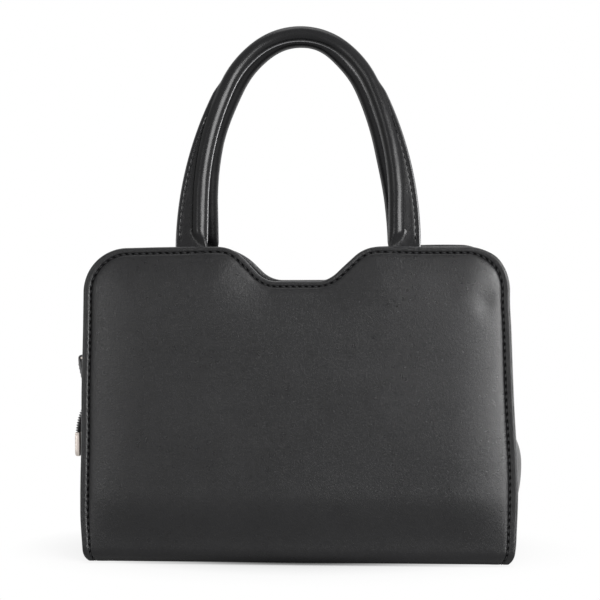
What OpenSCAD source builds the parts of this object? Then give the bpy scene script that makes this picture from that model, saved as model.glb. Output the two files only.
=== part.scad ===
// Top handle bag. Across is X, the front faces -Y, up is Z.
// The origin is the middle of the underside. The zip is closed.

/* [Body] */
// Width across the two side seams
body_w = 250; // [235:1:270]
// Height of the bag without its handles
body_h = 181.5; // [170:0.5:200]
// Depth at the floor, front to rear
base_depth = 110; // [98:1:120]
// Depth along the top edge, front to rear
top_depth = 80; // [72:1:88]
// Rounding of the two long bottom edges
base_r = 8; // [6:0.5:10]
// Rounding of the upper corners of the panels
corner_r = 26; // [20:1:32]
// Rounding of the seam at its four lower ends
foot_r = 6; // [3:0.5:7]

/* [Dip in the top edge] */
// Drop from the top edge to the floor of the dip
dip_depth = 20; // [16:1:24]
// Distance between the two points where the top edge starts to drop
dip_top_w = 96; // [90:1:100]
// Length of the level floor of the dip
dip_floor_w = 25; // [18:1:30]
// Rounding at the top and at the foot of the flanks
dip_r = 18.5; // [14:0.5:19]

/* [Leather, board and lining] */
// Thickness of the leather
leather_t = 1.6; // [1.2:0.1:2]
// Thickness of the stiffening board
board_t = 1.2; // [0.8:0.1:1.6]
// Thickness of the lining
lining_t = 0.8; // [0.5:0.1:1.2]
// Width of the seam margin that stands out past the gusset
seam_w = 5.2; // [4:0.1:7]
// Distance of the stitch groove from the edge
groove_in = 4.4; // [3.5:0.1:5]
// Width of the stitch groove
groove_w = 1.2; // [0.8:0.1:1.6]
// Depth of the stitch groove
groove_depth = 0.5; // [0.3:0.1:0.7]

/* [Padding of the front and rear] */
// How far the padded leather swells in its middle
pad_rise = 3.6; // [2.4:0.1:4.4]
// Distance from the groove over which the swell rises
pad_run = 50; // [40:1:60]
// Height over the floor in which the swell dies out
pad_foot = 34; // [26:1:46]
// Height of the roll of leather just inside the groove
pad_roll = 0.75; // [0.4:0.05:1.1]

/* [Side gussets] */
// How far the side swells past the plane of the zip strips
swell = 11.6; // [9:0.2:13]
// Height of the fullest point of the swell
swell_z = 50; // [42:1:56]
// Curve of the side above its fullest point
swell_top_r = 35; // [30:1:38]
// Curve of the side below its fullest point
swell_foot_r = 110; // [95:1:140]
// Distance behind the strips from which the swell is swung across the side
swell_reach = 70; // [66:1:80]
// Height of the end of the zip on the left
left_top = 96.5; // [92:0.5:100]
// Height of the end of the zip on the right
right_top = 80; // [79:0.5:90]

/* [Zip] */
// Width of the slot between the two leather strips
zip_slot = 10; // [9.6:0.2:14]
// Thickness of the tape
tape_t = 0.6; // [0.4:0.1:0.8]
// Width of the tape that is sewn under the leather strip
tape_sewn = 7; // [5:0.5:10]
// Height of the teeth above the tape
coil_h = 2; // [1.6:0.1:2.4]
// Spacing of the teeth along one row
tooth_pitch = 3; // [2.6:0.1:4]
// Length of one tooth along the row
tooth_l = 1.2; // [0.8:0.1:1.3]
// Space between the two rows, where the slider's post runs
row_gap = 1.4; // [1.2:0.1:2]

/* [Slider and puller] */
// Height of the lower end of the slider with the zip closed
slider_z = 106.5; // [104:0.5:110]
// Length of the slider
slider_l = 14.5; // [13:0.5:17]
// Width of the slider
slider_w = 9; // [8.6:0.1:9.2]
// Thickness of each plate of the slider
plate_t = 1.2; // [0.9:0.1:1.6]
// Thickness of the wire of the pull ring
ring_d = 1.6; // [1.2:0.1:2]
// Reach of the pull ring from its pin to its outer bar
ring_reach = 7.9; // [7:0.1:10]
// Width of the leather pull tab
tab_w = 9.6; // [7:0.2:14]
// Length of the leather pull tab
tab_l = 18.6; // [14:0.2:19]
// Thickness of the folded pull tab
tab_t = 3.6; // [3:0.1:4.4]

/* [Free end of the zip] */
// How far the free end drops before its metal cap
tail_drop = 26; // [22:0.5:28]
// How far the free end leans out over that drop
tail_out = 13.2; // [12.8:0.1:17]
// Width of the tape of the free end
tail_w = 11; // [9:0.5:14]
// Height of the metal end cap
cap_h = 14.5; // [11:0.5:16]
// Width of the metal end cap
cap_w = 13; // [12:0.5:16]
// Thickness of the metal end cap
cap_t = 3.4; // [2.6:0.1:3.6]

/* [Handles] */
// Rise of each handle above the panels, measured along the handle
handle_h = 134; // [131:1:150]
// Distance from the middle of the bag to the inner edge of a leg
leg_in = 53; // [51:0.5:54]
// Width of a leg where it enters the seam
leg_w = 18.5; // [17:0.5:20]
// Curve of the outer stitched edge of a leg
leg_edge_r = 216; // [205:1:240]
// Height at which the stitched edge rolls in behind the handle
leg_edge_h = 94; // [84:1:98]
// Curve of the top of the handle
crown_r = 40.5; // [38:0.5:42]
// Curve of the handle's shoulders
shoulder_r = 59.5; // [57:0.5:62]
// Diameter of the rolled handle
roll_d = 9; // [8:0.2:11]
// Thickness of the flat leather of a leg
leg_t = 1.6; // [1.2:0.1:2]
// How far a leg runs on down inside the seam
leg_sewn = 16; // [10:1:22]
// Lean of the handles towards each other, in degrees
handle_lean = 11; // [8:0.5:12]

/* [Slip pocket inside] */
// Width of the pocket on the rear lining
pocket_w = 136; // [110:2:160]
// Height of the pocket's mouth
pocket_top = 128; // [110:1:140]
// Height of the pocket's foot
pocket_foot = 42; // [30:1:50]
// Rounding of the pocket's lower corners
pocket_r = 10; // [4:1:16]

/* [Hidden] */

leather = [0.17, 0.17, 0.18];
cloth = [0.33, 0.31, 0.30];
board = [0.55, 0.47, 0.36];
tape = [0.07, 0.07, 0.08];
metal = [0.71, 0.67, 0.64];

$fn = 96;
large_fn = 180;
over = 1;
gap = 0.3;
half_w = body_w / 2;
run_w = body_w + 4 * swell;
top_z = body_h + over;
lean = (base_depth - top_depth) / 2 / body_h;
lean_a = atan(lean);
fold_z = base_r * (1 + sin(lean_a));
corner_y = base_depth / 2 - fold_z / cos(lean_a);
skin = leather_t + gap;
strip_in = seam_w + leather_t;
liner_in = strip_in + gap;
strip_x = half_w - seam_w;
tape_x = half_w - strip_in;

// The dip: two brow arcs, two bowl arcs and the straight flanks that touch both
dip_z = body_h - dip_depth;
brow = [dip_top_w / 2, body_h - dip_r];
bowl = [dip_floor_w / 2, dip_z + dip_r];
flank = asin(2 * dip_r / norm(brow - bowl)) + atan2(brow[1] - bowl[1], brow[0] - bowl[0]);
flank_l = norm(brow - bowl) * cos(asin(2 * dip_r / norm(brow - bowl)));

// Distance of the front or rear wall from the middle, at a height and a depth under its face
function wall_y(z, depth) = base_depth / 2 - z * lean - depth / cos(lean_a);

module along_y(low, high) {
    rotate([90, 0, 0]) translate([0, 0, -high]) linear_extrude(height = high - low) children();
}

module along_x(low, high) {
    rotate([90, 0, 90]) translate([0, 0, low]) linear_extrude(height = high - low) children();
}

// Front view of the panels, drawn in by a given distance at the sides and the top
module outline(inset) {
    up = [-sin(flank), cos(flank)];
    foot = max(foot_r - inset, 0);
    side_x = half_w - inset;
    shoulder_x = half_w - corner_r;
    for (side = [0, 1]) mirror([side, 0]) {
        difference() {
            union() {
                polygon([[0, 0], [side_x - foot, 0], [side_x - foot, foot], [side_x, foot],
                         [side_x, body_h - corner_r], [shoulder_x, body_h - corner_r],
                         [shoulder_x, body_h - inset], [brow[0], body_h - inset],
                         brow + (dip_r - inset) * up, bowl - (dip_r + inset) * up,
                         bowl, [bowl[0], dip_z - inset], [0, dip_z - inset]]);
                translate([shoulder_x, body_h - corner_r]) circle(r = corner_r - inset);
                if (foot > 0) translate([side_x - foot, foot]) circle(r = foot);
                intersection() {
                    translate(brow) circle(r = dip_r - inset);
                    polygon([brow, brow + 2 * dip_r * up, [brow[0], body_h + dip_r]]);
                }
            }
            translate(bowl) circle(r = dip_r + inset);
        }
    }
}

// The strip of an outline that lies between two insets
module rim(outer, inner) {
    difference() {
        outline(outer);
        outline(inner);
    }
}

// Side view of the bag at a given depth under its surface
module profile(depth) {
    for (side = [0, 1]) mirror([side, 0]) {
        polygon([[0, depth], [corner_y, depth], [corner_y, base_r],
                 [corner_y, base_r] + (base_r - depth) * [cos(lean_a), sin(lean_a)],
                 [wall_y(top_z, depth), top_z], [0, top_z]]);
        translate([corner_y, base_r]) circle(r = base_r - depth);
    }
}

// One layer of the leaning front wall, between two depths, above the fold
module layer(outer, inner, low = fold_z) {
    along_x(-run_w, run_w)
        polygon([[-wall_y(low, outer), low], [-wall_y(top_z, outer), top_z],
                 [-wall_y(top_z, inner), top_z], [-wall_y(low, inner), low]]);
}

module rear() {
    mirror([0, 1, 0]) children();
}

module left() {
    mirror([1, 0, 0]) children();
}

// Base: one leather tray, its board and its lining

module base_panel() {
    color(leather) intersection() {
        along_x(-run_w, run_w) intersection() {
            difference() {
                profile(0);
                profile(leather_t);
            }
            translate([-base_depth, -over]) square([2 * base_depth, fold_z - gap + over]);
        }
        along_y(-base_depth, base_depth) outline(0);
    }
}

module base_sheet(low, thick, inset) {
    r = base_r - leather_t;
    sx = half_w - strip_in - inset - r;
    sy = corner_y - inset - r;
    translate([0, 0, low]) linear_extrude(height = thick) {
        square([2 * sx, 2 * (sy + r)], center = true);
        square([2 * (sx + r), 2 * sy], center = true);
        for (x = [-sx, sx], y = [-sy, sy]) translate([x, y]) circle(r = r);
    }
}

module base_board() {
    color(board) base_sheet(leather_t, board_t, leather_t);
}

module base_lining() {
    color(cloth) base_sheet(leather_t + board_t, lining_t, gap);
}

// Side gussets: a web that swells past the seams, with a lip turned out along each panel

module swell_view(depth) {
    peak_x = strip_x + swell;
    translate([peak_x - swell_top_r, swell_z]) intersection() {
        circle(r = swell_top_r - depth);
        translate([-swell_top_r, 0]) square([2 * swell_top_r, swell_top_r]);
    }
    translate([peak_x - swell_foot_r, swell_z]) intersection() {
        circle(r = swell_foot_r - depth, $fn = large_fn);
        translate([-swell_foot_r, -swell_foot_r]) square([2 * swell_foot_r, swell_foot_r]);
    }
}

module swell_body(depth, top) {
    foot_y = wall_y(0, skin + leather_t);
    head_y = wall_y(top, skin + leather_t);
    intersection() {
        along_y(-base_depth, base_depth) swell_view(depth);
        translate([strip_x - swell_reach, 0, 0])
            cylinder(h = top, r1 = norm([swell_reach, foot_y]) - depth,
                     r2 = norm([swell_reach, head_y]) - depth, $fn = large_fn);
    }
    translate([strip_x - depth - swell_reach, -base_depth, 0])
        cube([swell_reach, 2 * base_depth, top]);
}

module side_gusset(top) {
    intersection() {
        union() {
            intersection() {
                along_x(half_w - strip_in, half_w) difference() {
                    profile(skin);
                    profile(skin + leather_t);
                }
                along_y(-base_depth, base_depth) outline(0);
            }
            intersection() {
                difference() {
                    swell_body(0, top);
                    swell_body(leather_t, top + over);
                }
                along_x(half_w - strip_in - swell, run_w) profile(skin + leather_t / 2);
            }
        }
        translate([0, -base_depth, 0]) cube([run_w, 2 * base_depth, top]);
    }
}

module left_gusset() {
    color(leather) left() side_gusset(left_top);
}

module right_gusset() {
    color(leather) side_gusset(right_top);
}

// Leather tongue over the right end of the zip
module zip_end_tab() {
    tongue_w = zip_slot + 2 * leather_t + 2 * tape_t;
    under_x = tape_x + coil_h + gap;
    reach = under_x - (strip_x + swell - swell_top_r);
    low = swell_z + sqrt(swell_top_r * swell_top_r - reach * reach) + gap;
    color(leather) along_x(under_x, under_x + leather_t) {
        translate([-tongue_w / 2, low]) square([tongue_w, tongue_w]);
        translate([0, low + tongue_w]) circle(d = tongue_w);
    }
}

// The edge at an inset, from the middle of the dip to a height on the side, as lengths and turns
turn_len = PI / 180;
function edge_run(inset, end_z) = [
    [dip_floor_w / 2, 0],
    [(dip_r + inset) * flank * turn_len, flank],
    [flank_l, 0],
    [(dip_r - inset) * flank * turn_len, -flank],
    [half_w - corner_r - dip_top_w / 2, 0],
    [(corner_r - inset) * 90 * turn_len, -90],
    [body_h - corner_r - end_z, 0]];

function moved(len, turn, head) = turn == 0 ? len * [cos(head), sin(head)] :
    len / (turn * turn_len) * [sin(head + turn) - sin(head), cos(head) - cos(head + turn)];

// Place and heading at a distance along the line
function place(run, s, at, head, i = 0) =
    let (len = run[i][0], turn = run[i][1])
    s <= len || i == len(run) - 1
        ? concat(at + moved(s, turn * s / len, head), head + turn * s / len)
        : place(run, s - len, at + moved(len, turn, head), head + turn, i + 1);

function run_length(run, i = 0) = i == len(run) ? 0 : run[i][0] + run_length(run, i + 1);

function eased(t) = let (c = min(max(t, 0), 1)) c * c * (3 - 2 * c);

// Padding of a panel: rings that follow its edge in from the groove, and then draw together
// towards a line across its middle, each point lifted by its distance from the edge
pad_steps = [1, 5, 1, 4, 2, 6, 6];
pad_floor_steps = 5;
pad_in_shares = [0, 0.1, 0.28, 0.58, 1];
pad_mid_shares = [0.2, 0.45, 0.7];
pad_deep_share = 0.85;
pad_line_w_share = 0.5;
pad_line_z_share = 0.47;
pad_in = groove_in + groove_w / 2 + gap;
pad_deep = dip_r * pad_deep_share;
pad_line = [half_w * pad_line_w_share, body_h * pad_line_z_share];

function pad_lift(reach, z) =
    let (inner = max(reach - pad_in + gap, 0), far = min(inner / pad_run, 1))
    max(eased((z - fold_z + skin) / pad_foot)
        * (pad_rise * (1 - pow(1 - far, 3)) + pad_roll * (1 - exp(-inner / groove_w))), gap);

// Right half of the ring at an inset, as places with their distance from the edge
function pad_half(inset) =
    let (foot_z = fold_z + inset - pad_in + leather_t, run = edge_run(inset, foot_z),
         side_in = half_w - inset)
    concat([for (i = [0:len(run) - 1], j = [0:pad_steps[i] - 1])
                let (s = (run_length(run) - run_length(run, i)) + run[i][0] * j / pad_steps[i],
                     p = place(run, s, [0, dip_z - inset], 0))
                [p[0], p[1], inset]],
           [for (j = [0:pad_floor_steps])
                let (x = side_in * (1 - j / pad_floor_steps)) [x, foot_z, half_w - x]]);

function pad_ring(inset, draw = 0, flat = false) =
    let (half = pad_half(inset), n = len(half),
         all = concat(half, [for (i = [n - 2:-1:1]) [-half[i][0], half[i][1], half[i][2]]]))
    [for (p = all)
        let (goal = [min(max(p[0], -pad_line[0]), pad_line[0]), pad_line[1]],
             at = [p[0], p[1]] + (goal - [p[0], p[1]]) * draw,
             reach = min(half_w - abs(at[0]), p[2] + draw * norm(goal - [p[0], p[1]])),
             lift = flat ? pad_rise + pad_roll : pad_lift(reach, at[1]))
        [at[0], -wall_y(at[1], -lift), at[1]]];

module padding() {
    last = len(pad_mid_shares) - 1;
    base = [for (p = pad_ring(pad_in)) [p[0], -wall_y(p[2], leather_t / 2), p[2]]];
    rings = concat([base],
                   [for (share = pad_in_shares) pad_ring(pad_in + (pad_deep - pad_in) * share)],
                   [for (i = [0:last]) pad_ring(pad_deep, pad_mid_shares[i], i == last)]);
    m = len(base);
    top = len(rings) - 1;
    sides = [for (i = [0:top - 1], j = [0:m - 1])
                 let (a = i * m + j, b = i * m + (j + 1) % m)
                 each [[a, b, b + m], [a, b + m, a + m]]];
    middles = [for (depth = [leather_t / 2, -pad_rise - pad_roll])
                   [0, -wall_y(pad_line[1], depth), pad_line[1]]];
    low = m * len(rings);
    closing = [for (j = [0:m - 1])
                   let (k = (j + 1) % m) each [[low, k, j], [low + 1, top * m + j, top * m + k]]];
    polyhedron(points = concat([for (r = rings) each r], middles), faces = concat(sides, closing),
               convexity = 4);
}

// Panels and what lies behind them. The rear is the front's mirror image.

module panel() {
    difference() {
        intersection() {
            layer(0, leather_t);
            along_y(-base_depth, 0) outline(0);
        }
        intersection() {
            layer(-over, groove_depth, -over);
            along_y(-base_depth - over, 0) rim(groove_in - groove_w / 2, groove_in + groove_w / 2);
        }
    }
    padding();
}

module sheet_behind(outer, inner) {
    intersection() {
        layer(outer, inner);
        along_y(-base_depth, 0) outline(liner_in);
    }
}

module leg_ends(thick, grow) {
    for (side = [0, 1]) mirror([side, 0, 0]) intersection() {
        layer(leather_t, leather_t + thick);
        translate([leg_in - grow, -base_depth, body_h - leg_sewn - grow])
            cube([leg_w + 2 * grow, base_depth, leg_sewn + grow]);
    }
}

module panel_board() {
    difference() {
        sheet_behind(leather_t, leather_t + board_t);
        leg_ends(2 * board_t, gap);
    }
}

// Everything at the sides that lies below the two ends of the zip
module below_zip() {
    translate([-run_w, -base_depth, -over]) cube([run_w, 2 * base_depth, left_top + gap + over]);
    translate([0, -base_depth, -over]) cube([run_w, 2 * base_depth, right_top + gap + over]);
}

module zip_gusset() {
    difference() {
        union() {
            intersection() {
                layer(leather_t, 2 * leather_t);
                along_y(-base_depth, 0) rim(0, strip_in);
            }
            intersection() {
                layer(leather_t + leather_t / 2, base_depth);
                along_y(-base_depth, -zip_slot / 2) rim(seam_w, strip_in);
            }
        }
        below_zip();
        leg_ends(leather_t, gap);
    }
}

module zip_tape() {
    difference() {
        along_y(-zip_slot / 2 - tape_sewn, -row_gap / 2 - coil_h / 2)
            rim(strip_in, strip_in + tape_t);
        below_zip();
    }
}

// The line of the teeth, from the middle of the dip to the side
tooth_in = strip_in - coil_h / 2;
tooth_h_share = 0.7;
bead_in_share = 0.75;
function zip_run(end_z) = edge_run(tooth_in, end_z);

module tooth_row(end_z, first) {
    run = zip_run(end_z);
    count = floor((run_length(run) - first - tooth_l) / tooth_pitch);
    tooth_h = coil_h * tooth_h_share;
    spots = [for (i = [0:count]) place(run, first + i * tooth_pitch, [0, dip_z - tooth_in], 0)];
    polygon([for (p = spots, c = [[-1, -1], [1, -1], [1, 1], [-1, 1]])
                 let (u = c[0] * tooth_l / 2, v = c[1] * tooth_h / 2)
                 [p[0] + u * cos(p[2]) - v * sin(p[2]), p[1] + u * sin(p[2]) + v * cos(p[2])]],
            [for (i = [0:count]) [4 * i, 4 * i + 1, 4 * i + 2, 4 * i + 3]]);
}

module zip_teeth(first) {
    bead_y = row_gap / 2 + coil_h * bead_in_share;
    along_y(-bead_y - coil_h / 4, -row_gap / 2) {
        mirror([1, 0]) tooth_row(left_top + gap, first == 0 ? tooth_pitch : first);
        tooth_row(right_top + gap, first);
    }
    difference() {
        along_y(-bead_y - coil_h / 2, -bead_y) rim(strip_in - coil_h, strip_in);
        below_zip();
    }
}

module front_panel() {
    color(leather) panel();
}

module front_board() {
    color(board) panel_board();
}

module front_lining() {
    color(cloth) sheet_behind(leather_t + board_t, leather_t + board_t + lining_t);
}

module front_zip_gusset() {
    color(leather) zip_gusset();
}

module front_zip_tape() {
    color(tape) zip_tape();
}

module front_zip_teeth() {
    color(tape) zip_teeth(tooth_pitch / 2);
}

module front_handle_ends() {
    color(leather) leg_ends(board_t, 0);
}

module rear_panel() {
    color(leather) rear() panel();
}

module rear_board() {
    color(board) rear() panel_board();
}

module rear_lining() {
    color(cloth) rear() sheet_behind(leather_t + board_t, leather_t + board_t + lining_t);
}

module rear_zip_gusset() {
    color(leather) rear() zip_gusset();
}

module rear_zip_tape() {
    color(tape) rear() zip_tape();
}

module rear_zip_teeth() {
    color(tape) rear() zip_teeth(0);
}

module rear_handle_ends() {
    color(leather) rear() leg_ends(board_t, 0);
}

module slip_pocket() {
    under = leather_t + board_t + lining_t;
    color(cloth) rear() intersection() {
        layer(under, under + lining_t);
        along_y(-base_depth, 0) {
            translate([-pocket_w / 2, pocket_foot + pocket_r])
                square([pocket_w, pocket_top - pocket_foot - pocket_r]);
            translate([-pocket_w / 2 + pocket_r, pocket_foot])
                square([pocket_w - 2 * pocket_r, pocket_top - pocket_foot]);
            for (side = [-1, 1]) translate([side * (pocket_w / 2 - pocket_r), pocket_foot + pocket_r])
                circle(r = pocket_r);
        }
    }
}

// Handles: leather rolled round a rope and stitched along its outer edge, lofted along one line
// that climbs a leg, turns over the crown and comes down the other leg. Each is drawn flat and
// then leaned over the fold of its legs.

hinge_rise = 1.2;
roll_foot_share = 0.6;
roll_neck_share = 1.7;
leg_foot_share = 0.3;
hinge_y = wall_y(body_h, leather_t + board_t / 2);
crown_a = 40;
shoulder_a = 66;
roll_r = roll_d / 2;
roll_x = leg_in + roll_r;
roll_foot = roll_d * roll_foot_share;
roll_neck = roll_d * roll_neck_share;
leg_foot = -leg_t * leg_foot_share;
side_x = roll_x - crown_r * sin(crown_a) - shoulder_r * (sin(shoulder_a) - sin(crown_a));
side_r = side_x / (1 - sin(shoulder_a));
crown_drop = crown_r * (1 - cos(crown_a)) + shoulder_r * (cos(crown_a) - cos(shoulder_a));
side_drop = side_r * cos(shoulder_a);
leg_run = handle_h - hinge_rise - roll_r - crown_drop - side_drop - leg_foot;
side_run = [side_r * (90 - shoulder_a) * turn_len, 90 - shoulder_a];
shoulder_run = [shoulder_r * (shoulder_a - crown_a) * turn_len, shoulder_a - crown_a];
handle_run = [[leg_run, 0], side_run, shoulder_run, [2 * crown_r * crown_a * turn_len, 2 * crown_a],
              shoulder_run, side_run, [leg_run, 0]];
handle_len = run_length(handle_run);
neck_steps = 7;
arch_steps = 46;
neck_len = roll_neck - leg_foot + leg_t;
handle_spots = concat([for (i = [0:neck_steps - 1]) i * neck_len / neck_steps],
                      [for (i = [0:arch_steps]) neck_len + i * (handle_len - 2 * neck_len) / arch_steps],
                      [for (i = [neck_steps - 1:-1:0]) handle_len - i * neck_len / neck_steps]);
roll_step = 18;
roll_angles = [for (a = [180:-roll_step:roll_step]) a];

// Reach of the stitched edge from the middle of the roll, out along the line's normal
function edge_reach(x, z, nx, nz) =
    let (dx = x - (leg_in + leg_w - leg_edge_r), along = dx * nx + z * nz,
         reach = sqrt(max(along * along - dx * dx - z * z + leg_edge_r * leg_edge_r, 0)) - along)
    roll_r + max(reach - roll_r, 0) * eased((leg_edge_h - z) / roll_r + 0.5);

function handle_ring(s) =
    let (p = place(handle_run, s, [roll_x, leg_foot], 90),
         nx = sin(p[2]), nz = -cos(p[2]),
         reach = edge_reach(abs(p[0]), p[1], abs(nx), nz),
         half_t = leg_t / 2,
         thick = half_t + (roll_r - half_t) * eased((p[1] - roll_foot) / (roll_neck - roll_foot)),
         top = [for (a = roll_angles) [roll_r * cos(a), thick * sin(a)]],
         tip = [[reach - half_t / 2, half_t], [reach, half_t / 2],
                [reach, -half_t / 2], [reach - half_t / 2, -half_t]],
         low = [for (i = [len(top) - 1:-1:1]) [top[i][0], -top[i][1]]])
    [for (c = concat(top, tip, low)) [p[0] + c[0] * nx, c[1], p[1] + c[0] * nz]];

module handle() {
    rings = [for (s = handle_spots) handle_ring(s)];
    m = len(rings[0]);
    last = len(rings) - 1;
    sides = [for (i = [0:last - 1], j = [0:m - 1])
                 let (a = i * m + j, b = i * m + (j + 1) % m)
                 each [[a, b, b + m], [a, b + m, a + m]]];
    ends = [for (j = [1:m - 2]) each [[0, j + 1, j], [last * m, last * m + j, last * m + j + 1]]];
    polyhedron(points = [for (r = rings) each r], faces = concat(sides, ends), convexity = 4);
}

module on_front_seam() {
    translate([0, -hinge_y, body_h + hinge_rise]) rotate([-handle_lean, 0, 0]) children();
}

module front_handle_leather() {
    color(leather) on_front_seam() handle();
}

module rear_handle_leather() {
    color(leather) rear() on_front_seam() handle();
}

// Slider, pull ring and pull tab, on the left side of the bag

inner_plate_x = tape_x - tape_t - gap - plate_t;
outer_plate_x = tape_x + coil_h + gap;
ear_r = 2.3;
ear_w = 2.8;
pin_play = 0.4;
post_play = 0.2;
ear_out_share = 0.95;
ear_up_share = 0.59;
nose_share = 0.6;
nose_w_share = 0.36;
post_share = 0.3;
pin = [outer_plate_x + plate_t + ear_r * ear_out_share, slider_z + slider_l * ear_up_share];
bar = pin + [ring_reach, 0];
post_w = row_gap - 2 * post_play;

module slider_plan() {
    translate([0, slider_z])
        polygon([[-slider_w / 2, 0], [slider_w / 2, 0], [slider_w / 2, slider_l * nose_share],
                 [slider_w * nose_w_share, slider_l], [-slider_w * nose_w_share, slider_l],
                 [-slider_w / 2, slider_l * nose_share]]);
}

module zip_slider() {
    color(metal) left() {
        along_x(inner_plate_x, inner_plate_x + plate_t) slider_plan();
        along_x(outer_plate_x, outer_plate_x + plate_t) slider_plan();
        along_x(inner_plate_x + plate_t / 2, outer_plate_x + plate_t / 2)
            translate([-post_w / 2, slider_z + plate_t]) square([post_w, slider_l * post_share]);
        along_y(-ear_w / 2, ear_w / 2) difference() {
            union() {
                translate(pin) circle(r = ear_r);
                translate([outer_plate_x + plate_t / 2, pin[1] - ear_r])
                    square([pin[0] - outer_plate_x - plate_t / 2, 2 * ear_r]);
            }
            translate(pin) circle(r = ring_d / 2 + pin_play);
        }
    }
}

arm_share = 0.65;

module pull_ring() {
    arm_y = tab_w / 2 + gap;
    arm_r = ring_d * arm_share;
    color(metal) left() {
        for (at = [pin, bar]) along_y(-arm_y - ring_d / 2, arm_y + ring_d / 2)
            translate(at) circle(d = ring_d);
        for (low = [-arm_y - ring_d, arm_y]) along_y(low, low + ring_d) {
            for (at = [pin, bar]) translate(at) circle(r = arm_r);
            translate(pin - [0, arm_r]) square([ring_reach, 2 * arm_r]);
        }
    }
}

tab_tip_share = 0.2;

module pull_tab() {
    low = bar[1] + tab_t / 2 - tab_l;
    tip_r = tab_w * tab_tip_share;
    color(leather) left() intersection() {
        along_y(-tab_w / 2, tab_w / 2) difference() {
            union() {
                translate(bar) circle(d = tab_t);
                translate([bar[0] - tab_t / 2, low]) square([tab_t, bar[1] - low]);
            }
            translate(bar) circle(r = ring_d / 2 + gap / 2);
        }
        along_x(pin[0], bar[0] + tab_t) {
            translate([-tab_w / 2, low + tip_r]) square([tab_w, tab_l]);
            translate([-tab_w / 2 + tip_r, low]) square([tab_w - 2 * tip_r, tab_l]);
            for (side = [-1, 1]) translate([side * (tab_w / 2 - tip_r), low + tip_r]) circle(r = tip_r);
        }
    }
}

// Free end of the zip: a curved tape with its teeth, and a metal cap crimped over its end

tail_t = 1;
tail_bead_share = 0.6;
tail_sunk_share = 0.1;
tail_root = [strip_x + gap + tail_t / 2, left_top - tail_t / 2];
tail_end_lean = 3;
tail_start_lean = 2 * atan(tail_out / tail_drop) - tail_end_lean;
tail_r = tail_drop / (sin(tail_start_lean) - sin(tail_end_lean));
tail_mid = tail_root - tail_r * [cos(tail_start_lean), sin(tail_start_lean)];
cap_top = tail_root[1] - tail_drop;

module tail_band(low, high) {
    intersection() {
        difference() {
            translate(tail_mid) circle(r = tail_r + high, $fn = large_fn);
            translate(tail_mid) circle(r = tail_r + low, $fn = large_fn);
        }
        polygon([tail_mid, tail_mid + 2 * tail_r * [cos(tail_start_lean), sin(tail_start_lean)],
                 tail_mid + [3 * tail_r, 0], [tail_mid[0] + 3 * tail_r, cap_top],
                 [tail_mid[0], cap_top]]);
    }
}

module tail_tape() {
    color(tape) left() along_y(-tail_w / 2, tail_w / 2) tail_band(-tail_t / 2, tail_t / 2);
}

module tail_teeth() {
    step_a = tooth_pitch / (tail_r * turn_len);
    count = floor((tail_start_lean - tail_end_lean) / step_a - 0.5);
    row_w = 2 * coil_h + row_gap;
    color(tape) left() {
        along_y(-coil_h / 2, coil_h / 2) tail_band(tail_t / 2, tail_t / 2 + coil_h * tail_bead_share);
        along_y(-row_w / 2, row_w / 2) for (i = [0:count - 1])
            translate(tail_mid) rotate(tail_start_lean - (i + 0.5) * step_a)
                translate([tail_r + tail_t / 2 + coil_h * tail_sunk_share, -tooth_l / 2])
                    square([coil_h * (1 - tail_sunk_share), tooth_l]);
    }
}

cap_r_share = 0.4;
cap_edge_share = 0.14;

module tail_end_cap() {
    cap_r = cap_t * cap_r_share;
    edge_r = cap_h * cap_edge_share;
    mid_x = tail_root[0] + tail_out;
    color(metal) left() intersection() {
        along_y(-cap_w / 2, cap_w / 2) translate([mid_x - cap_t / 2, cap_top - cap_h]) {
            translate([0, cap_r]) square([cap_t, cap_h - cap_r]);
            translate([cap_r, 0]) square([cap_t - 2 * cap_r, cap_h]);
            for (x = [cap_r, cap_t - cap_r]) translate([x, cap_r]) circle(r = cap_r);
        }
        along_x(mid_x - cap_t, mid_x + cap_t) translate([0, cap_top - cap_h]) {
            translate([-cap_w / 2, edge_r]) square([cap_w, cap_h - edge_r]);
            translate([-cap_w / 2 + edge_r, 0]) square([cap_w - 2 * edge_r, cap_h]);
            for (side = [-1, 1]) translate([side * (cap_w / 2 - edge_r), edge_r]) circle(r = edge_r);
        }
    }
}

base_panel();
base_board();
base_lining();
left_gusset();
right_gusset();
zip_end_tab();
front_panel();
front_board();
front_lining();
front_zip_gusset();
front_zip_tape();
front_zip_teeth();
front_handle_ends();
rear_panel();
rear_board();
rear_lining();
rear_zip_gusset();
rear_zip_tape();
rear_zip_teeth();
rear_handle_ends();
slip_pocket();
front_handle_leather();
rear_handle_leather();
zip_slider();
pull_ring();
pull_tab();
tail_tape();
tail_teeth();
tail_end_cap();
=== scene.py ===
# Looks of the top handle bag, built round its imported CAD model.
# Sizes are in millimetres here and become metres where a piece is made.
# Across is X, the front faces -Y, up is Z, and the bag stands on Z = 0.

import math

import bmesh
import bpy
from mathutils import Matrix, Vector, kdtree, noise
from mathutils.geometry import delaunay_2d_cdt


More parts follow.
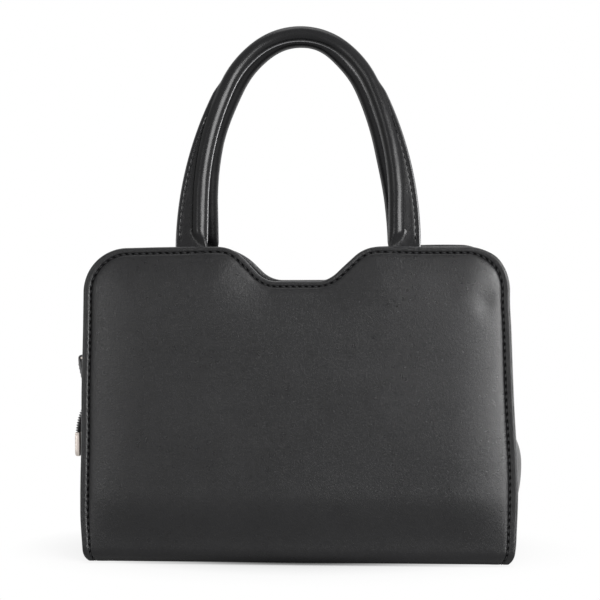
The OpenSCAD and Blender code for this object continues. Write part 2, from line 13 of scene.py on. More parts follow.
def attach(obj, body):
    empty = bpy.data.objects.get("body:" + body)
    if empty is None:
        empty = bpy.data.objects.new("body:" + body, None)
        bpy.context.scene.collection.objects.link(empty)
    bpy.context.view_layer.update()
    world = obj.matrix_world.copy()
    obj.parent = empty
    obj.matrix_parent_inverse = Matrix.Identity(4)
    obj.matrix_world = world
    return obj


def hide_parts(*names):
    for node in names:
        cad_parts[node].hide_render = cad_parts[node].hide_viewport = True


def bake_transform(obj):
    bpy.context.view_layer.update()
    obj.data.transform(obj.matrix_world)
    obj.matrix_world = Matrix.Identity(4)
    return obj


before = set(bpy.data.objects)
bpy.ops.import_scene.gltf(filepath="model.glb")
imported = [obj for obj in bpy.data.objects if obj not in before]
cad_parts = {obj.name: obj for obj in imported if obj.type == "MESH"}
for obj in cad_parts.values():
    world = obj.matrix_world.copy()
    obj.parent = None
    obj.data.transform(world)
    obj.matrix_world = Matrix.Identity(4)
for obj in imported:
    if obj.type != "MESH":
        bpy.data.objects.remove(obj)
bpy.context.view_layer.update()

MM = 0.001

# Body of the bag, as in the CAD model
body_w, body_h = 250.0, 181.5
half_w = body_w / 2
base_depth, top_depth = 110.0, 80.0
base_r, corner_r = 8.0, 26.0
dip_depth, dip_top_w, dip_floor_w, dip_r = 20.0, 96.0, 25.0, 18.5
leather_t, lining_t, lining_in = 1.6, 0.8, 2.85
seam_w, groove_in = 5.2, 4.4
slope = (base_depth - top_depth) / 2 / body_h
lean = math.atan(slope)
dip_z = body_h - dip_depth
strip_x = half_w - seam_w
corner_y = base_depth / 2 - base_r * (1 + math.sin(lean)) / math.cos(lean)
turn_end = math.pi / 2 + lean
fold_s = corner_y + base_r * turn_end
fold_z = base_r * (1 + math.sin(lean))

# Length, width, height and bow of each kind of stitch, and of a turn of each coil
seam_stitch = (3.1, 0.9, 0.7, 0.4)
strip_stitch = (2.5, 0.7, 0.6, 0.3)
gusset_stitch = (2.6, 0.7, 0.6, 0.32)
handle_stitch = (3.2, 0.85, 0.75, 0.36)
tab_stitch = (1.85, 0.5, 0.45, 0.2)
tongue_stitch = (2.4, 0.65, 0.55, 0.28)
pocket_stitch = (2.7, 0.6, 0.5, 0.25)
coil_turn = (4.3, 0.98, 1.5, 0.12)
tail_coil_turn = (5.5, 1.05, 1.7, 0.22)
stitch_pitch, coil_pitch = 4.0, 1.5

# The flank of the dip touches its brow arc and its bowl arc
brow = (dip_top_w / 2, body_h - dip_r)
bowl = (dip_floor_w / 2, dip_z + dip_r)
apart = math.hypot(brow[0] - bowl[0], brow[1] - bowl[1])
flank_turn = math.asin(2 * dip_r / apart)
flank = flank_turn + math.atan2(brow[1] - bowl[1], brow[0] - bowl[0])
flank_l = apart * math.cos(flank_turn)


# ---------------------------------------------------------------- sums

def eased(t):
    """From 0 to 1 as t goes from 0 to 1, level at both ends."""
    t = min(max(t, 0.0), 1.0)
    return t * t * (3 - 2 * t)


def mixed(a, b, t):
    return a + (b - a) * t


def soft_max(a, b, width):
    """The larger of two values, with a rounded change from one to the other."""
    h = max(width - abs(a - b), 0.0) / width
    return max(a, b) + h * h * width / 4


def hill(x, width):
    """1 at x = 0, and near 0 beyond two widths."""
    return math.exp(-(x / width) ** 2)


def grown(d, width):
    """From 0 at a distance of 0 towards 1, most of the way there at a few widths."""
    return 1 - math.exp(-d / width)


def root(v):
    return math.sqrt(max(v, 0.0))


def ripple(a, b, seed):
    """Smooth noise over two places, from about -1 to 1."""
    return noise.noise(Vector((a, b, seed)))


def arc(x, y, r, turn, count):
    """Points of a quarter of a circle, from an angle in degrees."""
    angles = [math.radians(turn + 90 * k / (count - 1)) for k in range(count)]
    return [(x + r * math.cos(a), y + r * math.sin(a)) for a in angles]


def around(count):
    """Angles at even steps once round."""
    return [2 * math.pi * k / count for k in range(count)]


def wall_y(z, depth):
    """Where the slanted wall of the front or rear is, so deep behind its outside."""
    return base_depth / 2 - z * slope - depth / math.cos(lean)


# ---------------------------------------------------------------- finishes

class Signal:
    """An output of a tree's nodes that can be used in sums."""

    def __init__(self, tree, out):
        self.tree, self.out = tree, out

    def maths(self, how, *inputs):
        return self.tree.node("ShaderNodeMath", {"operation": how}, dict(enumerate(inputs)))

    def __add__(self, other):
        return self.maths("ADD", self, other)

    def __mul__(self, other):
        return self.maths("MULTIPLY", self, other)


class Tree:
    """A tree of shader nodes, each made with its settings and inputs in one call."""

    def __init__(self, tree):
        self.nodes, self.links = tree.nodes, tree.links
        self.nodes.clear()

    def node(self, kind, settings, inputs, out=0):
        made = self.nodes.new(kind)
        for name, value in settings.items():
            if name == "stops":
                ramp = made.color_ramp
                while len(ramp.elements) < len(value):
                    ramp.elements.new(1.0)
                for stop, (place, colour) in zip(ramp.elements, value):
                    stop.position = place
                    stop.color = (*colour, 1.0)
            else:
                setattr(made, name, value)
        for key, value in inputs.items():
            self.join(made.inputs[key], value)
        return Signal(self, made.outputs[out])

    def join(self, socket, value):
        if isinstance(value, Signal):
            self.links.new(value.out, socket)
        else:
            socket.default_value = value

    def seen_directly(self):
        """1 for what the camera sees, also in a mirror or through glass."""
        rays = self.nodes.new("ShaderNodeLightPath").outputs
        camera, glossy, through = (Signal(self, rays["Is %s Ray" % kind])
                                   for kind in ("Camera", "Glossy", "Transmission"))
        return camera.maths("MAXIMUM", camera.maths("MAXIMUM", camera, glossy), through)


class Finish(Tree):
    """A material. Constants are set on the shader's own sockets."""

    def __init__(self, name, **constants):
        self.material = bpy.data.materials.new(name)
        self.material.use_nodes = True
        super().__init__(self.material.node_tree)
        self.output = self.nodes.new("ShaderNodeOutputMaterial")
        self.shader = self.nodes.new("ShaderNodeBsdfPrincipled")
        self.links.new(self.shader.outputs[0], self.output.inputs[0])
        for name, value in constants.items():
            self.shader.inputs[name.replace("_", " ")].default_value = value

    def feed(self, **signals):
        for name, value in signals.items():
            self.join(self.shader.inputs[name.replace("_", " ")], value)

    def where(self):
        return self.node("ShaderNodeTexCoord", {}, {}, "Object")

    def noise(self, scale, detail=2.0, roughness=0.5, where=None):
        return self.node("ShaderNodeTexNoise", {},
                         {"Vector": where or self.where(), "Scale": scale, "Detail": detail,
                          "Roughness": roughness})

    def cells(self, scale):
        return self.node("ShaderNodeTexVoronoi", {"feature": "DISTANCE_TO_EDGE"},
                         {"Vector": self.where(), "Scale": scale})

    def axis(self, name, vector=None):
        return self.node("ShaderNodeSeparateXYZ", {}, {"Vector": vector or self.where()}, name)

    def scaled(self, *scale):
        return self.node("ShaderNodeMapping", {}, {"Vector": self.where(), "Scale": scale})

    def ramp(self, signal, *stops):
        return self.node("ShaderNodeValToRGB", {"stops": [(p, (v, v, v)) for p, v in stops]},
                         {"Fac": signal})

    def tint(self, signal, low, high):
        return self.node("ShaderNodeMix", {"data_type": "RGBA"},
                         {0: signal, 6: (*low, 1.0), 7: (*high, 1.0)}, 2)

    def bump(self, height, depth):
        """A bump whose depth is in millimetres."""
        self.feed(Normal=self.node("ShaderNodeBump", {},
                                   {"Height": height, "Distance": depth * MM, "Strength": 1.0}))


def leather_finish(name, low, high, roughness, grain, shine=0.2):
    f = Finish(name, Specular_IOR_Level=shine)
    pores = f.ramp(f.cells(1500.0), (0.0, 0.0), (0.22, 1.0))
    creases = f.ramp(f.cells(620.0), (0.0, 0.55), (0.12, 1.0))
    fine = f.noise(2600.0, 2.0)
    broad = f.noise(38.0, 3.0, 0.55)
    mottle = f.noise(420.0, 2.0)
    pebble = f.noise(820.0, 2.0)
    # The lowest 4 mm are scuffed dull
    scuffed = f.ramp(f.axis("Z") * 100.0, (0.12, 0.55), (0.42, 0.0))
    f.feed(Base_Color=f.tint(broad * 0.55 + mottle * 0.3 + pores * 0.15, low, high),
           Roughness=f.ramp(broad * 0.4 + mottle * 0.6,
                            (0.25, roughness - 0.05), (0.75, roughness + 0.06)) + scuffed)
    f.bump(pores * 0.35 + creases * 0.25 + fine * 0.2 + pebble * 0.8, grain)
    return f.material


def paint_finish(name, low, high, roughness):
    f = Finish(name, Coat_Weight=0.25, Coat_Roughness=0.2)
    streaks = f.noise(900.0, 2.0)
    f.feed(Base_Color=f.tint(streaks, low, high), Roughness=streaks * 0.15 + roughness)
    f.bump(streaks, 0.02)
    return f.material


def cloth_finish(name, low, high, pitch):
    """A plain weave whose threads are pitch apart."""
    f = Finish(name, Roughness=0.85, Sheen_Weight=0.25, Sheen_Roughness=0.5)
    across, back, up = (f.axis(name) for name in "XYZ")
    turns = math.pi / (pitch * MM)
    weave = across.maths("SINE", across * turns) * up.maths("SINE", (up + back) * turns) * 0.5 + 0.5
    slubs = f.noise(240.0, 3.0)
    f.feed(Base_Color=f.tint(weave * 0.6 + slubs * 0.4, low, high))
    f.bump(weave * 0.8 + slubs * 0.3, 0.09)
    return f.material


def thread_finish():
    f = Finish("black_thread", Roughness=0.6, Specular_IOR_Level=0.1)
    twist = f.noise(3000.0, 1.0)
    f.feed(Base_Color=f.tint(twist, (0.003, 0.003, 0.0033), (0.012, 0.012, 0.0125)))
    f.bump(twist, 0.06)
    return f.material


def coil_finish():
    f = Finish("black_nylon_coil", Specular_IOR_Level=0.5)
    worn = f.noise(700.0, 2.0)
    f.feed(Base_Color=f.tint(worn, (0.008, 0.008, 0.009), (0.022, 0.022, 0.024)),
           Roughness=worn * 0.2 + 0.28)
    return f.material


def metal_finish():
    f = Finish("champagne_nickel", Metallic=1.0)
    brushed = f.noise(4200.0, 3.0, where=f.scaled(1.0, 1.0, 0.12))
    broad = f.noise(160.0, 2.0)
    f.feed(Base_Color=f.tint(broad, (0.47, 0.42, 0.385), (0.56, 0.51, 0.47)),
           Roughness=brushed * 0.18 + 0.24)
    f.bump(brushed, 0.012)
    return f.material


def board_finish():
    f = Finish("fibre_board", Roughness=0.8)
    fibres = f.noise(500.0, 5.0, 0.7)
    f.feed(Base_Color=f.tint(fibres, (0.30, 0.23, 0.16), (0.44, 0.35, 0.25)))
    f.bump(fibres, 0.1)
    return f.material


LEATHER = leather_finish("black_leather", (0.0025, 0.0025, 0.0027), (0.0065, 0.0065, 0.0069),
                         0.30, 0.09)
HANDLE = leather_finish("black_handle_leather", (0.002, 0.002, 0.0022), (0.005, 0.005, 0.0054),
                        0.28, 0.03, 0.16)
SUEDE = leather_finish("leather_backing", (0.030, 0.028, 0.027), (0.060, 0.056, 0.052), 0.75, 0.10)
PAINT = paint_finish("edge_paint", (0.008, 0.008, 0.009), (0.02, 0.02, 0.0215), 0.34)
# Pale edges: the pull tab's cut edges are pale. On the handles' inner edge the same pale colour is a
# painted rim reflection
CUT_EDGE_AND_PAINTED_RIM = paint_finish("pale_cut_edge_and_painted_rim", (0.045, 0.045, 0.047), (0.09, 0.09, 0.093), 0.4)
LINING = cloth_finish("lining_cloth", (0.055, 0.05, 0.048), (0.12, 0.11, 0.105), 0.45)
TAPE = cloth_finish("zip_tape_cloth", (0.008, 0.008, 0.009), (0.026, 0.026, 0.028), 0.5)
THREAD = thread_finish()
COIL = coil_finish()
METAL = metal_finish()
BOARD = board_finish()


# ---------------------------------------------------------------- mesh code

def pushed_out(p):
    """The worn shape: sides that stand in, a rear edge that rises at the right, a drawn dip."""
    x, y, z = p
    if x < 0:
        out = 0.45 * hill(z - 98, 22) - 1.75 + 0.45 * hill(z - 44, 24) - 1.9 * eased((30 - z) / 36)
        # The slider runs straight, so the zip on this side keeps its line
        out *= mixed(1.0, eased((abs(y) - 9) / 24), eased((z - 64) / 24))
    else:
        out = 1.8 * hill(z - 45, 31) - 1.8 * eased((z - 62) / 88) - 1.0 * eased((14 - z) / 14)
        out -= 0.7 * hill(z - 152, 13)
    share = math.copysign(min(abs(x) / half_w, 1.0) ** 4, x)
    rear = eased((y + 34) / 68)
    # The rear edge rises at the right, both sink at the left, and the right corners stand up
    rise = 2.1 * hill(x - 88, 46) * rear * eased((z - 120) / 58)
    rise -= 0.8 * hill(x + 108, 26) * eased((z - 140) / 40)
    rise += 0.9 * hill(x - 118, 6) * eased((z - 158) / 10)
    # The edges of the dip are drawn aside, those of the front and of the rear by themselves
    pull = (3.0 * hill(x + 34, 21) - 1.4 * hill(x - 25, 15)) * (1 - rear) * eased((z - 128) / 32)
    pull -= 4.5 * hill(x + 48, 13) * rear * eased((z - 172) / 7)
    return x + out * share + pull, y, z + rise


class Shape:
    """Points and faces of one piece, each face with the number of its finish."""

    def __init__(self):
        self.points, self.faces, self.finishes = [], [], []

    def add(self, points, faces):
        start = len(self.points)
        self.points += [tuple(p) for p in points]
        self.faces += [tuple(i + start for i in face) for face in faces]
        self.finishes += [0] * len(faces)

    def bent(self, place):
        """Every point put through a function of its own."""
        self.points = [place(tuple(p)) for p in self.points]
        return self

    def mirrored(self, x=False, y=False):
        if not (x or y):
            return self
        other = Shape()
        other.points = [(-p[0] if x else p[0], -p[1] if y else p[1], p[2]) for p in self.points]
        other.faces = self.faces if x and y else [face[::-1] for face in self.faces]
        other.finishes = self.finishes
        return other

    def skin_over(self, outer, inner, faces, finishes=(0, 0, 0)):
        """A closed sheet between two copies of a net, as the first thing in a shape."""
        n = len(outer)
        self.add(list(outer) + list(inner), [])
        rims = {}
        for face in faces:
            self.faces += [tuple(face), tuple(n + i for i in reversed(face))]
            self.finishes += finishes[:2]
            rims.update(((a, b), True) for a, b in zip(face, face[1:] + face[:1]))
        for a, b in rims:
            if (b, a) not in rims:
                self.faces.append((b, a, n + a, n + b))
                self.finishes.append(finishes[2])
        return self

    def outwards(self):
        """Turns every face of a closed piece so that it faces out."""
        volume = 0.0
        for face in self.faces:
            a = Vector(self.points[face[0]])
            for i, j in zip(face[1:], face[2:]):
                volume += a.dot(Vector(self.points[i]).cross(Vector(self.points[j])))
        if volume < 0:
            self.faces = [face[::-1] for face in self.faces]
        return self

    def rings(self, rings, closed=False):
        """A tube through rings of points that all have the same count."""
        m = len(rings[0])
        points = [p for ring in rings for p in ring]
        last = len(rings) - (0 if closed else 1)
        faces = []
        for i in range(last):
            a, b = i * m, (i + 1) % len(rings) * m
            for j in range(m):
                k = (j + 1) % m
                faces.append((a + j, b + j, b + k, a + k))
        if not closed:
            faces.append(tuple(range(m)))
            faces.append(tuple((len(rings) - 1) * m + j for j in reversed(range(m))))
        self.add(points, faces)

    def bead(self, middle, along, up, length, width, height, bow=0.0, sides=6, steps=4):
        """A stitch or a tooth: a plump rod that can bow up in its middle."""
        along, up = Vector(along).normalized(), Vector(up).normalized()
        side = along.cross(up)
        rings = []
        for i in range(steps + 1):
            t = -1 + 2 * i / steps
            plump = root(1 - abs(t) ** 3 * 0.86)
            centre = Vector(middle) + along * (t * length / 2) + up * (bow * (1 - t * t))
            rings.append([centre + side * (width / 2 * plump * math.cos(a))
                          + up * (height / 2 * plump * math.sin(a)) for a in around(sides)])
        self.rings(rings)


def tube(rings, closed=False, second=()):
    """A tube that faces out, with the second finish at some places round its section."""
    shape = Shape()
    shape.rings(rings, closed)
    m = len(rings[0])
    for i in range((len(rings) - 1) * m):
        shape.finishes[i] = int(i % m in second)
    return shape.outwards()


def distance_to(outline):
    """A function that says how far a 2D point is from the nearest of an outline's points."""
    tree = kdtree.KDTree(len(outline))
    for i, (x, s) in enumerate(outline):
        tree.insert((x, s, 0), i)
    tree.balance()
    return lambda x, s: tree.find((x, s, 0))[2]


def made(name, shape, finishes, slot, body=None, bend=None, stands_for=(), sharp=48.0, warp=True):
    """A piece in the scene. bend is two bodies and the places where it would leave one for the other,
    but the piece is not bent: with a bend its transform is only baked.
    """
    points = [pushed_out(p) for p in shape.points] if warp else shape.points
    mesh = bpy.data.meshes.new(name)
    mesh.from_pydata([(p[0] * MM, p[1] * MM, p[2] * MM) for p in points], [], shape.faces)
    for finish in finishes:
        mesh.materials.append(finish)
    mesh.polygons.foreach_set("material_index", shape.finishes)
    mesh.polygons.foreach_set("use_smooth", [True] * len(mesh.polygons))
    mesh.set_sharp_from_angle(angle=math.radians(sharp))
    mesh.update()
    piece = bpy.data.objects.new(name, mesh)
    bpy.context.scene.collection.objects.link(piece)
    if bend:
        tuple(v * MM for v in bend[2])
        tuple(v * MM for v in bend[3])
        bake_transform(piece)
    else:
        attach(piece, body)
    if stands_for:
        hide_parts(*stands_for)
    return piece


def normals_of(points, faces):
    """The normal of a net at each of its points."""
    sums = [Vector() for _ in points]
    for face in faces:
        a, b, c = (Vector(points[i]) for i in face[:3])
        normal = (b - a).cross(c - a)
        for i in face:
            sums[i] += normal
    return [v.normalized() for v in sums]


def seam_share(x):
    """The seam runs nearer to the edge along the top, and nearest in the dip."""
    return 0.64 + 0.12 * eased((abs(x) - 50) / 22) + 0.24 * eased((abs(x) - 98) / 26)


def seam_line(points, inset):
    """An offset line that keeps to the seam where the seam runs near the edge."""
    hold = 1 - eased((inset - 5.2) / 4.8)
    full, edge = offset_line(points, inset), []
    for (x, s), (fx, fs) in zip(points, full):
        t = 1 - (1 - seam_share(x)) * hold
        edge.append((mixed(x, fx, t), mixed(s, fs, t)))
    return edge


def headings(points):
    """The direction of a line of 2D points at each of them, one unit long."""
    found = []
    for a, b in zip(points[:1] + points[:-1], points[1:] + points[-1:]):
        length = math.dist(a, b)
        found.append(((b[0] - a[0]) / length, (b[1] - a[1]) / length))
    return found


def offset_line(points, inset):
    """A line of 2D points moved to its right-hand side."""
    return [(x + ds * inset, s - dx * inset)
            for (x, s), (dx, ds) in zip(points, headings(points))]


def distances(points):
    """How far along a line each of its points is."""
    total = [0.0]
    for a, b in zip(points, points[1:]):
        total.append(total[-1] + math.dist(a, b))
    return total


def spaced(points, pitch, first=0.0, stop=None):
    """Places along a line at even distances: (point, direction)."""
    total = distances(points)
    at, i, found = first, 0, []
    end = total[-1] if stop is None else min(stop, total[-1])
    while at <= end:
        while total[i + 1] < at:
            i += 1
        t = (at - total[i]) / (total[i + 1] - total[i])
        p, q = points[i], points[i + 1]
        found.append((tuple(mixed(a, b, t) for a, b in zip(p, q)),
                      tuple(b - a for a, b in zip(p, q))))
        at += pitch
    return found


def walked(legs, x, z, head, step):
    """Points along straight legs and arcs, each leg a length and a turn."""
    points = [(x, z)]
    for length, turn in legs:
        count = max(int(math.ceil(length / step)), 1)
        for _ in range(count):
            part, bend = length / count, turn / count
            middle = head + bend / 2
            chord = part if abs(bend) < 1e-9 else part * math.sin(bend / 2) / (bend / 2)
            x, z, head = x + chord * math.cos(middle), z + chord * math.sin(middle), head + bend
            points.append((x, z))
    return points


def half_edge(end_z, step=1.0):
    """The panel's edge from the middle of the dip, out over the corner and down to a height."""
    return walked([(dip_floor_w / 2, 0), (dip_r * flank, flank), (flank_l, 0),
                   (dip_r * flank, -flank), (half_w - corner_r - dip_top_w / 2, 0),
                   (corner_r * math.pi / 2, -math.pi / 2), (body_h - corner_r - end_z, 0)],
                  0.0, dip_z, 0.0, step)


# ---------------------------------------------------------------- the folded wall

def folded(x, s, h):
    """A point of the front leather: x across, s from under the middle of the bag, h outwards."""
    if s <= corner_y:
        return x, -s, -h
    turn = min((s - corner_y) / base_r, turn_end)
    r = base_r + h
    y, z = -corner_y - r * math.sin(turn), base_r - r * math.cos(turn)
    rest = max(s - fold_s, 0.0)
    return x, y + rest * math.sin(lean), z + rest * math.cos(lean)


def fold_axes(s):
    """Directions up along the leather and out of it."""
    turn = min(max((s - corner_y) / base_r, 0.0), turn_end)
    back, up = math.cos(turn), math.sin(turn)
    return Vector((0, -back, up)), Vector((0, -up, -back))


def unrolled(z):
    """How far along the leather a height is, from under the middle of the bag."""
    return fold_s + (z - fold_z) / math.cos(lean)


side_bend_y, side_bend_z = 54, (6.4, 11.4)
foot_in = 2.2


def side_edge_x(s):
    """The edge of the leather below the corners, which draws in at the foot."""
    low, high = corner_y + 1.5, fold_s - 1.0
    return half_w - foot_in * eased((high - s) / (high - low)) ** 1.4


def wrap_edge(step=1.0):
    """Half of the edge of the front leather, unrolled, from the dip to under the bag."""
    points = [(x, unrolled(z)) for x, z in half_edge(fold_z + 6.0, step)]
    s = points[-1][1] - step
    while s > step / 2:
        points.append((side_edge_x(s), s))
        s -= step
    points.append((side_edge_x(0.0), 0.0))
    return points


def full_line(half):
    """Both halves of a line, from one foot to the other."""
    return [(-x, s) for x, s in reversed(half[1:])] + half


half_wrap = wrap_edge()
groove_half = seam_line(half_wrap, groove_in)
groove_total = distances(groove_half)


def crown(d, x, s, seed):
    """How far the padded leather stands out at a distance d from its edge."""
    up = eased((s - fold_s + 1.9) / 34)
    inner = max(d - groove_in - 0.5, 0.0)
    padding = 3.6 * (1 - (1 - min(inner / 40, 1.0)) ** 3) + 0.75 * grown(inner, 1.2)
    wave = ripple(x / 62, s / 55, seed) * 0.42 * grown(inner, 9.0)
    wave += ripple(x / 19, s / 21, seed + 5) * 0.10 * grown(inner, 5.0)
    return up * (padding + wave)


def edge_drop(d):
    """The round of the cut edge, and the margin that falls from it to the groove."""
    round_off = root(0.64 - max(0.8 - d, 0.0) ** 2) - 0.8
    return round_off + 0.22 * eased(d / 1.1) * (1 - eased((d - 0.4) / 3.6))


def leather_panel(seed, dent):
    """The front leather from under the bag to its dipped edge, with its stitch groove.

    dent is the x, the z and the depth of one shallow dent."""
    insets = [0.0, 0.12, 0.35, 0.8, 1.5, 2.3, 3.1, 3.6, 3.95, 4.2, 4.4, 4.6, 4.85, 5.2, 5.8, 6.8,
              8.2, 10.0]
    points, depth, along, edges = [], [], [], []
    run = [-v for v in reversed(groove_total[1:])] + groove_total
    for inset in insets:
        line = full_line(seam_line(half_wrap, inset))
        start = len(points)
        points += line
        depth += [inset] * len(line)
        along += run
        edges += [(start + i, start + i + 1) for i in range(len(line) - 1)]
    ring = len(run)
    rim = points[:ring]
    from_rim = distance_to(rim)
    step, s, row, floor_row = 2.6, 0.0, 0, []
    while s < unrolled(body_h):
        x = -half_w + (step / 2 if row % 2 else 0.0)
        while x < half_w:
            near = from_rim(x, s)
            low = s < unrolled(dip_z) - 12
            inside = abs(x) < side_edge_x(s) if low else within(x, s, rim)
            if inside and near > insets[-1] + 1.2:
                if row == 0:
                    floor_row.append(len(points))
                points.append((x, s))
                depth.append(near)
                along.append(0.0)
            x += step
        s += step
        row += 1
    # The lines of the margin all end at the middle of the base, where the net is cut straight
    ends = [k * ring for k in range(len(insets))]
    floor = ends + floor_row + [e + ring - 1 for e in reversed(ends)]
    outline = list(range(ring)) + [e + ring - 1 for e in ends[1:]] + floor_row[::-1] + ends[:0:-1]
    edges += [(a, b) for a, b in zip(floor, floor[1:])]
    flat, _, faces, source, _, _ = delaunay_2d_cdt([Vector(p) for p in points], edges,
                                                   [outline], 1, 1e-4)
    outer, inner = [], []
    for (x, s), came in zip(flat, source):
        i = came[0] if came else 0
        d = depth[i]
        # The groove is deepest at the holes between two stitches
        hole = 0.5 - 0.5 * math.cos(2 * math.pi * along[i] / stitch_pitch)
        groove = (0.7 + 0.95 * hole) * hill(d - groove_in, 0.55)
        h = edge_drop(d) + crown(d, x, s, seed) - groove
        if dent:
            h -= dent[2] * hill(math.hypot((x - dent[0]) / 5.5, (s - unrolled(dent[1])) / 7.0), 1.0)
        if s < fold_s:
            h = min(h, 0.0)
        outer.append(folded(x, s, h))
        inner.append(folded(x, s, -leather_t + 0.05))
    if twice_area(flat, faces) < 0:
        faces = [face[::-1] for face in faces]
    return Shape().skin_over(outer, inner, faces, (0, 1, 0))


def within(x, s, line):
    """Whether a 2D point is inside a closed outline."""
    inside = False
    for (ax, az), (bx, bz) in zip(line, line[1:] + line[:1]):
        if (az > s) != (bz > s) and x < ax + (s - az) / (bz - az) * (bx - ax):
            inside = not inside
    return inside


def twice_area(flat, faces):
    """Twice the area of a flat net, above 0 where its faces turn to the left."""
    total = 0.0
    for face in faces:
        for i, j in zip(face, face[1:] + face[:1]):
            total += flat[i][0] * flat[j][1] - flat[j][0] * flat[i][1]
    return total


def groove_stitches():
    """Stitches in the groove of the front leather, also under the bag."""
    shape = Shape()
    for side in (1, -1):
        for (x, s), (dx, ds) in spaced(groove_half, stitch_pitch, 0.0 if side > 0 else stitch_pitch,
                                       groove_total[-1] - 2):
            up_along, out = fold_axes(s)
            along = Vector((dx * side, 0, 0)) + up_along * ds
            along.normalize()
            tilt = along.cross(out) * 0.16
            shape.bead(folded(x * side, s, -0.66), along + tilt, out, *seam_stitch)
    return shape


def painted_edge():
    """Paint over the cut edges of the panel and of the lip behind it."""
    shape = Shape()
    line = full_line(half_wrap)
    rings = []
    for (x, s), (dx, ds) in zip(line, headings(line)):
        up_along, out = fold_axes(s)
        away = Vector((-ds, 0, 0)) + up_along * dx
        middle = Vector(folded(x, s, -1.72))
        ring = []
        for k in range(9):
            a = math.pi * (k / 8 - 0.5)
            ring.append(middle + away * (0.36 * math.cos(a) - 0.06) + out * (1.38 * math.sin(a)))
        ring += [middle - away * 0.5 + out * 1.3, middle - away * 0.5 - out * 1.3]
        rings.append(ring)
    shape.rings(rings)
    return shape


# ---------------------------------------------------------------- gussets and zip strips

left_top, right_top = 96.5, 80.0
swell, swell_z, swell_top_r, swell_foot_r = 11.6, 50.0, 35.0, 110.0
lip_depth = 3.3
zip_slot = 10.0


def zip_bend(side_y, top):
    """Two places that say how the strips above an end of the zip would follow their side of the bag."""
    across = wall_y(top, lip_depth)
    rise = (1 - zip_slot / 2 / across) / (dip_z - top)
    pull = Vector((0, side_y / across, rise))
    pull /= pull.length_squared
    return (0, 0, top), (0, pull.y, top + pull.z)


def strip_ring(x, z, nx, nz, y_edge):
    """Section of a leather strip beside the zip, with the lip that is sewn to the panel."""
    wall = lambda depth: -wall_y(z, depth)
    ring = [(0.15, wall(2.3)), (0.2, wall(3.1)), (0.5, wall(lip_depth)), (2.2, wall(lip_depth)),
            (3.9, wall(lip_depth)), (4.6, wall(3.5)), (5.05, wall(3.95)), (5.15, wall(4.7))]
    far = wall(4.7)
    for k in range(1, 9):
        t = k / 9
        ring.append((5.15 - 0.55 * math.sin(math.pi * t) ** 0.7, mixed(far, y_edge - 2.7, t)))
    ring += [(5.05, y_edge - 2.7), (5.32, y_edge - 2.2), (5.02, y_edge - 1.7), (5.0, y_edge - 0.9),
             (5.2, y_edge - 0.3), (5.7, y_edge), (6.2, y_edge), (6.7, y_edge - 0.35),
             (6.8, y_edge - 1.0), (6.8, mixed(far, y_edge, 0.66)), (6.8, mixed(far, y_edge, 0.33)),
             (6.8, wall(4.6)), (6.7, wall(1.75)), (4.0, wall(1.75)), (0.3, wall(1.75))]
    return [(x + nx * d, y, z + nz * d) for d, y in ring]


def swept(half, section):
    """A closed section swept along the edge line, given the inward normal at each place."""
    shape = Shape()
    turned = [(1.0, 0.0)] + headings(half)[1:]
    shape.rings([section(x, z, dz, -dx)[::-1] for (x, z), (dx, dz) in zip(half, turned)])
    return shape


def zip_strip(top):
    """The front leather strip beside the zip, from the middle down to a height."""
    return swept(half_edge(top + 0.4, 1.6),
                 lambda x, z, nx, nz: strip_ring(x, z, nx, nz, -zip_slot / 2))


def strip_stitches(top):
    shape = Shape()
    line = offset_line(half_edge(top + 0.4), 5.25)
    for (x, z), (dx, dz) in spaced(line, 3.2, 1.6):
        along = Vector((dx, 0, dz)).normalized()
        out = Vector((-along.z, 0, along.x))
        shape.bead((x, -zip_slot / 2 - 2.2, z), along + Vector((0, 0.12, 0)), out, *strip_stitch)
    return shape


def zip_tape(top, edge):
    """The tape of one side of the zip, its edge a distance from the middle."""

    def section(x, z, nx, nz):
        ring = [(6.85, -12.0), (6.85, -8.0), (6.85, -5.0), (6.8, -3.4), (6.85, -edge - 0.3),
                (7.1, -edge), (7.35, -edge - 0.3), (7.4, -5.0), (7.4, -8.0), (7.4, -12.0)]
        return [(x + nx * d, y, z + nz * d) for d, y in ring]

    return swept(half_edge(top + 0.4, 1.6), section)


def coil_row(top, first):
    """One row of the nylon coil: each turn is a plump rod with its head towards the middle."""
    shape = Shape()
    line = offset_line(half_edge(top + 0.8), 5.85)
    for (x, z), (dx, dz) in spaced(line, coil_pitch, first):
        along = Vector((dx, 0, dz)).normalized()
        out = Vector((-along.z, 0, along.x))
        shape.bead((x, -1.75, z), (0, 1, 0), out, *coil_turn, 6, 5)
    return shape


def gusset_bulge(y, z):
    """How far the side swells past the plane of the strips."""
    middle = swell_z + 5
    r = swell_top_r if z >= middle else swell_foot_r * 0.88
    rise = min(abs(z - middle), r * 0.97)
    view = swell + 0.2 - r + math.sqrt(r * r - rise * rise)
    plan = max(1 - (y / wall_y(z, lip_depth)) ** 2, 0.0) ** 0.9
    return soft_max((view - 0.9) * plan, 0.0, 5.0) - 1.25 * hill(z - 92, 15)


def gusset_lip(top, step=1.6):
    """The line where a gusset is sewn to the front leather, from its top to under the bag."""
    lip, z, turn_r = [], top, base_r - lip_depth
    while z > fold_z + 0.6:
        lip.append((-wall_y(z, lip_depth), z))
        z -= step
    for k in range(7):
        a = turn_end * (1 - k / 6)
        lip.append((-corner_y - turn_r * math.sin(a), base_r - turn_r * math.cos(a)))
    y = -corner_y + step
    while y < -step / 2:
        lip.append((y, lip_depth))
        y += step
    return lip + [(0.0, lip_depth)]


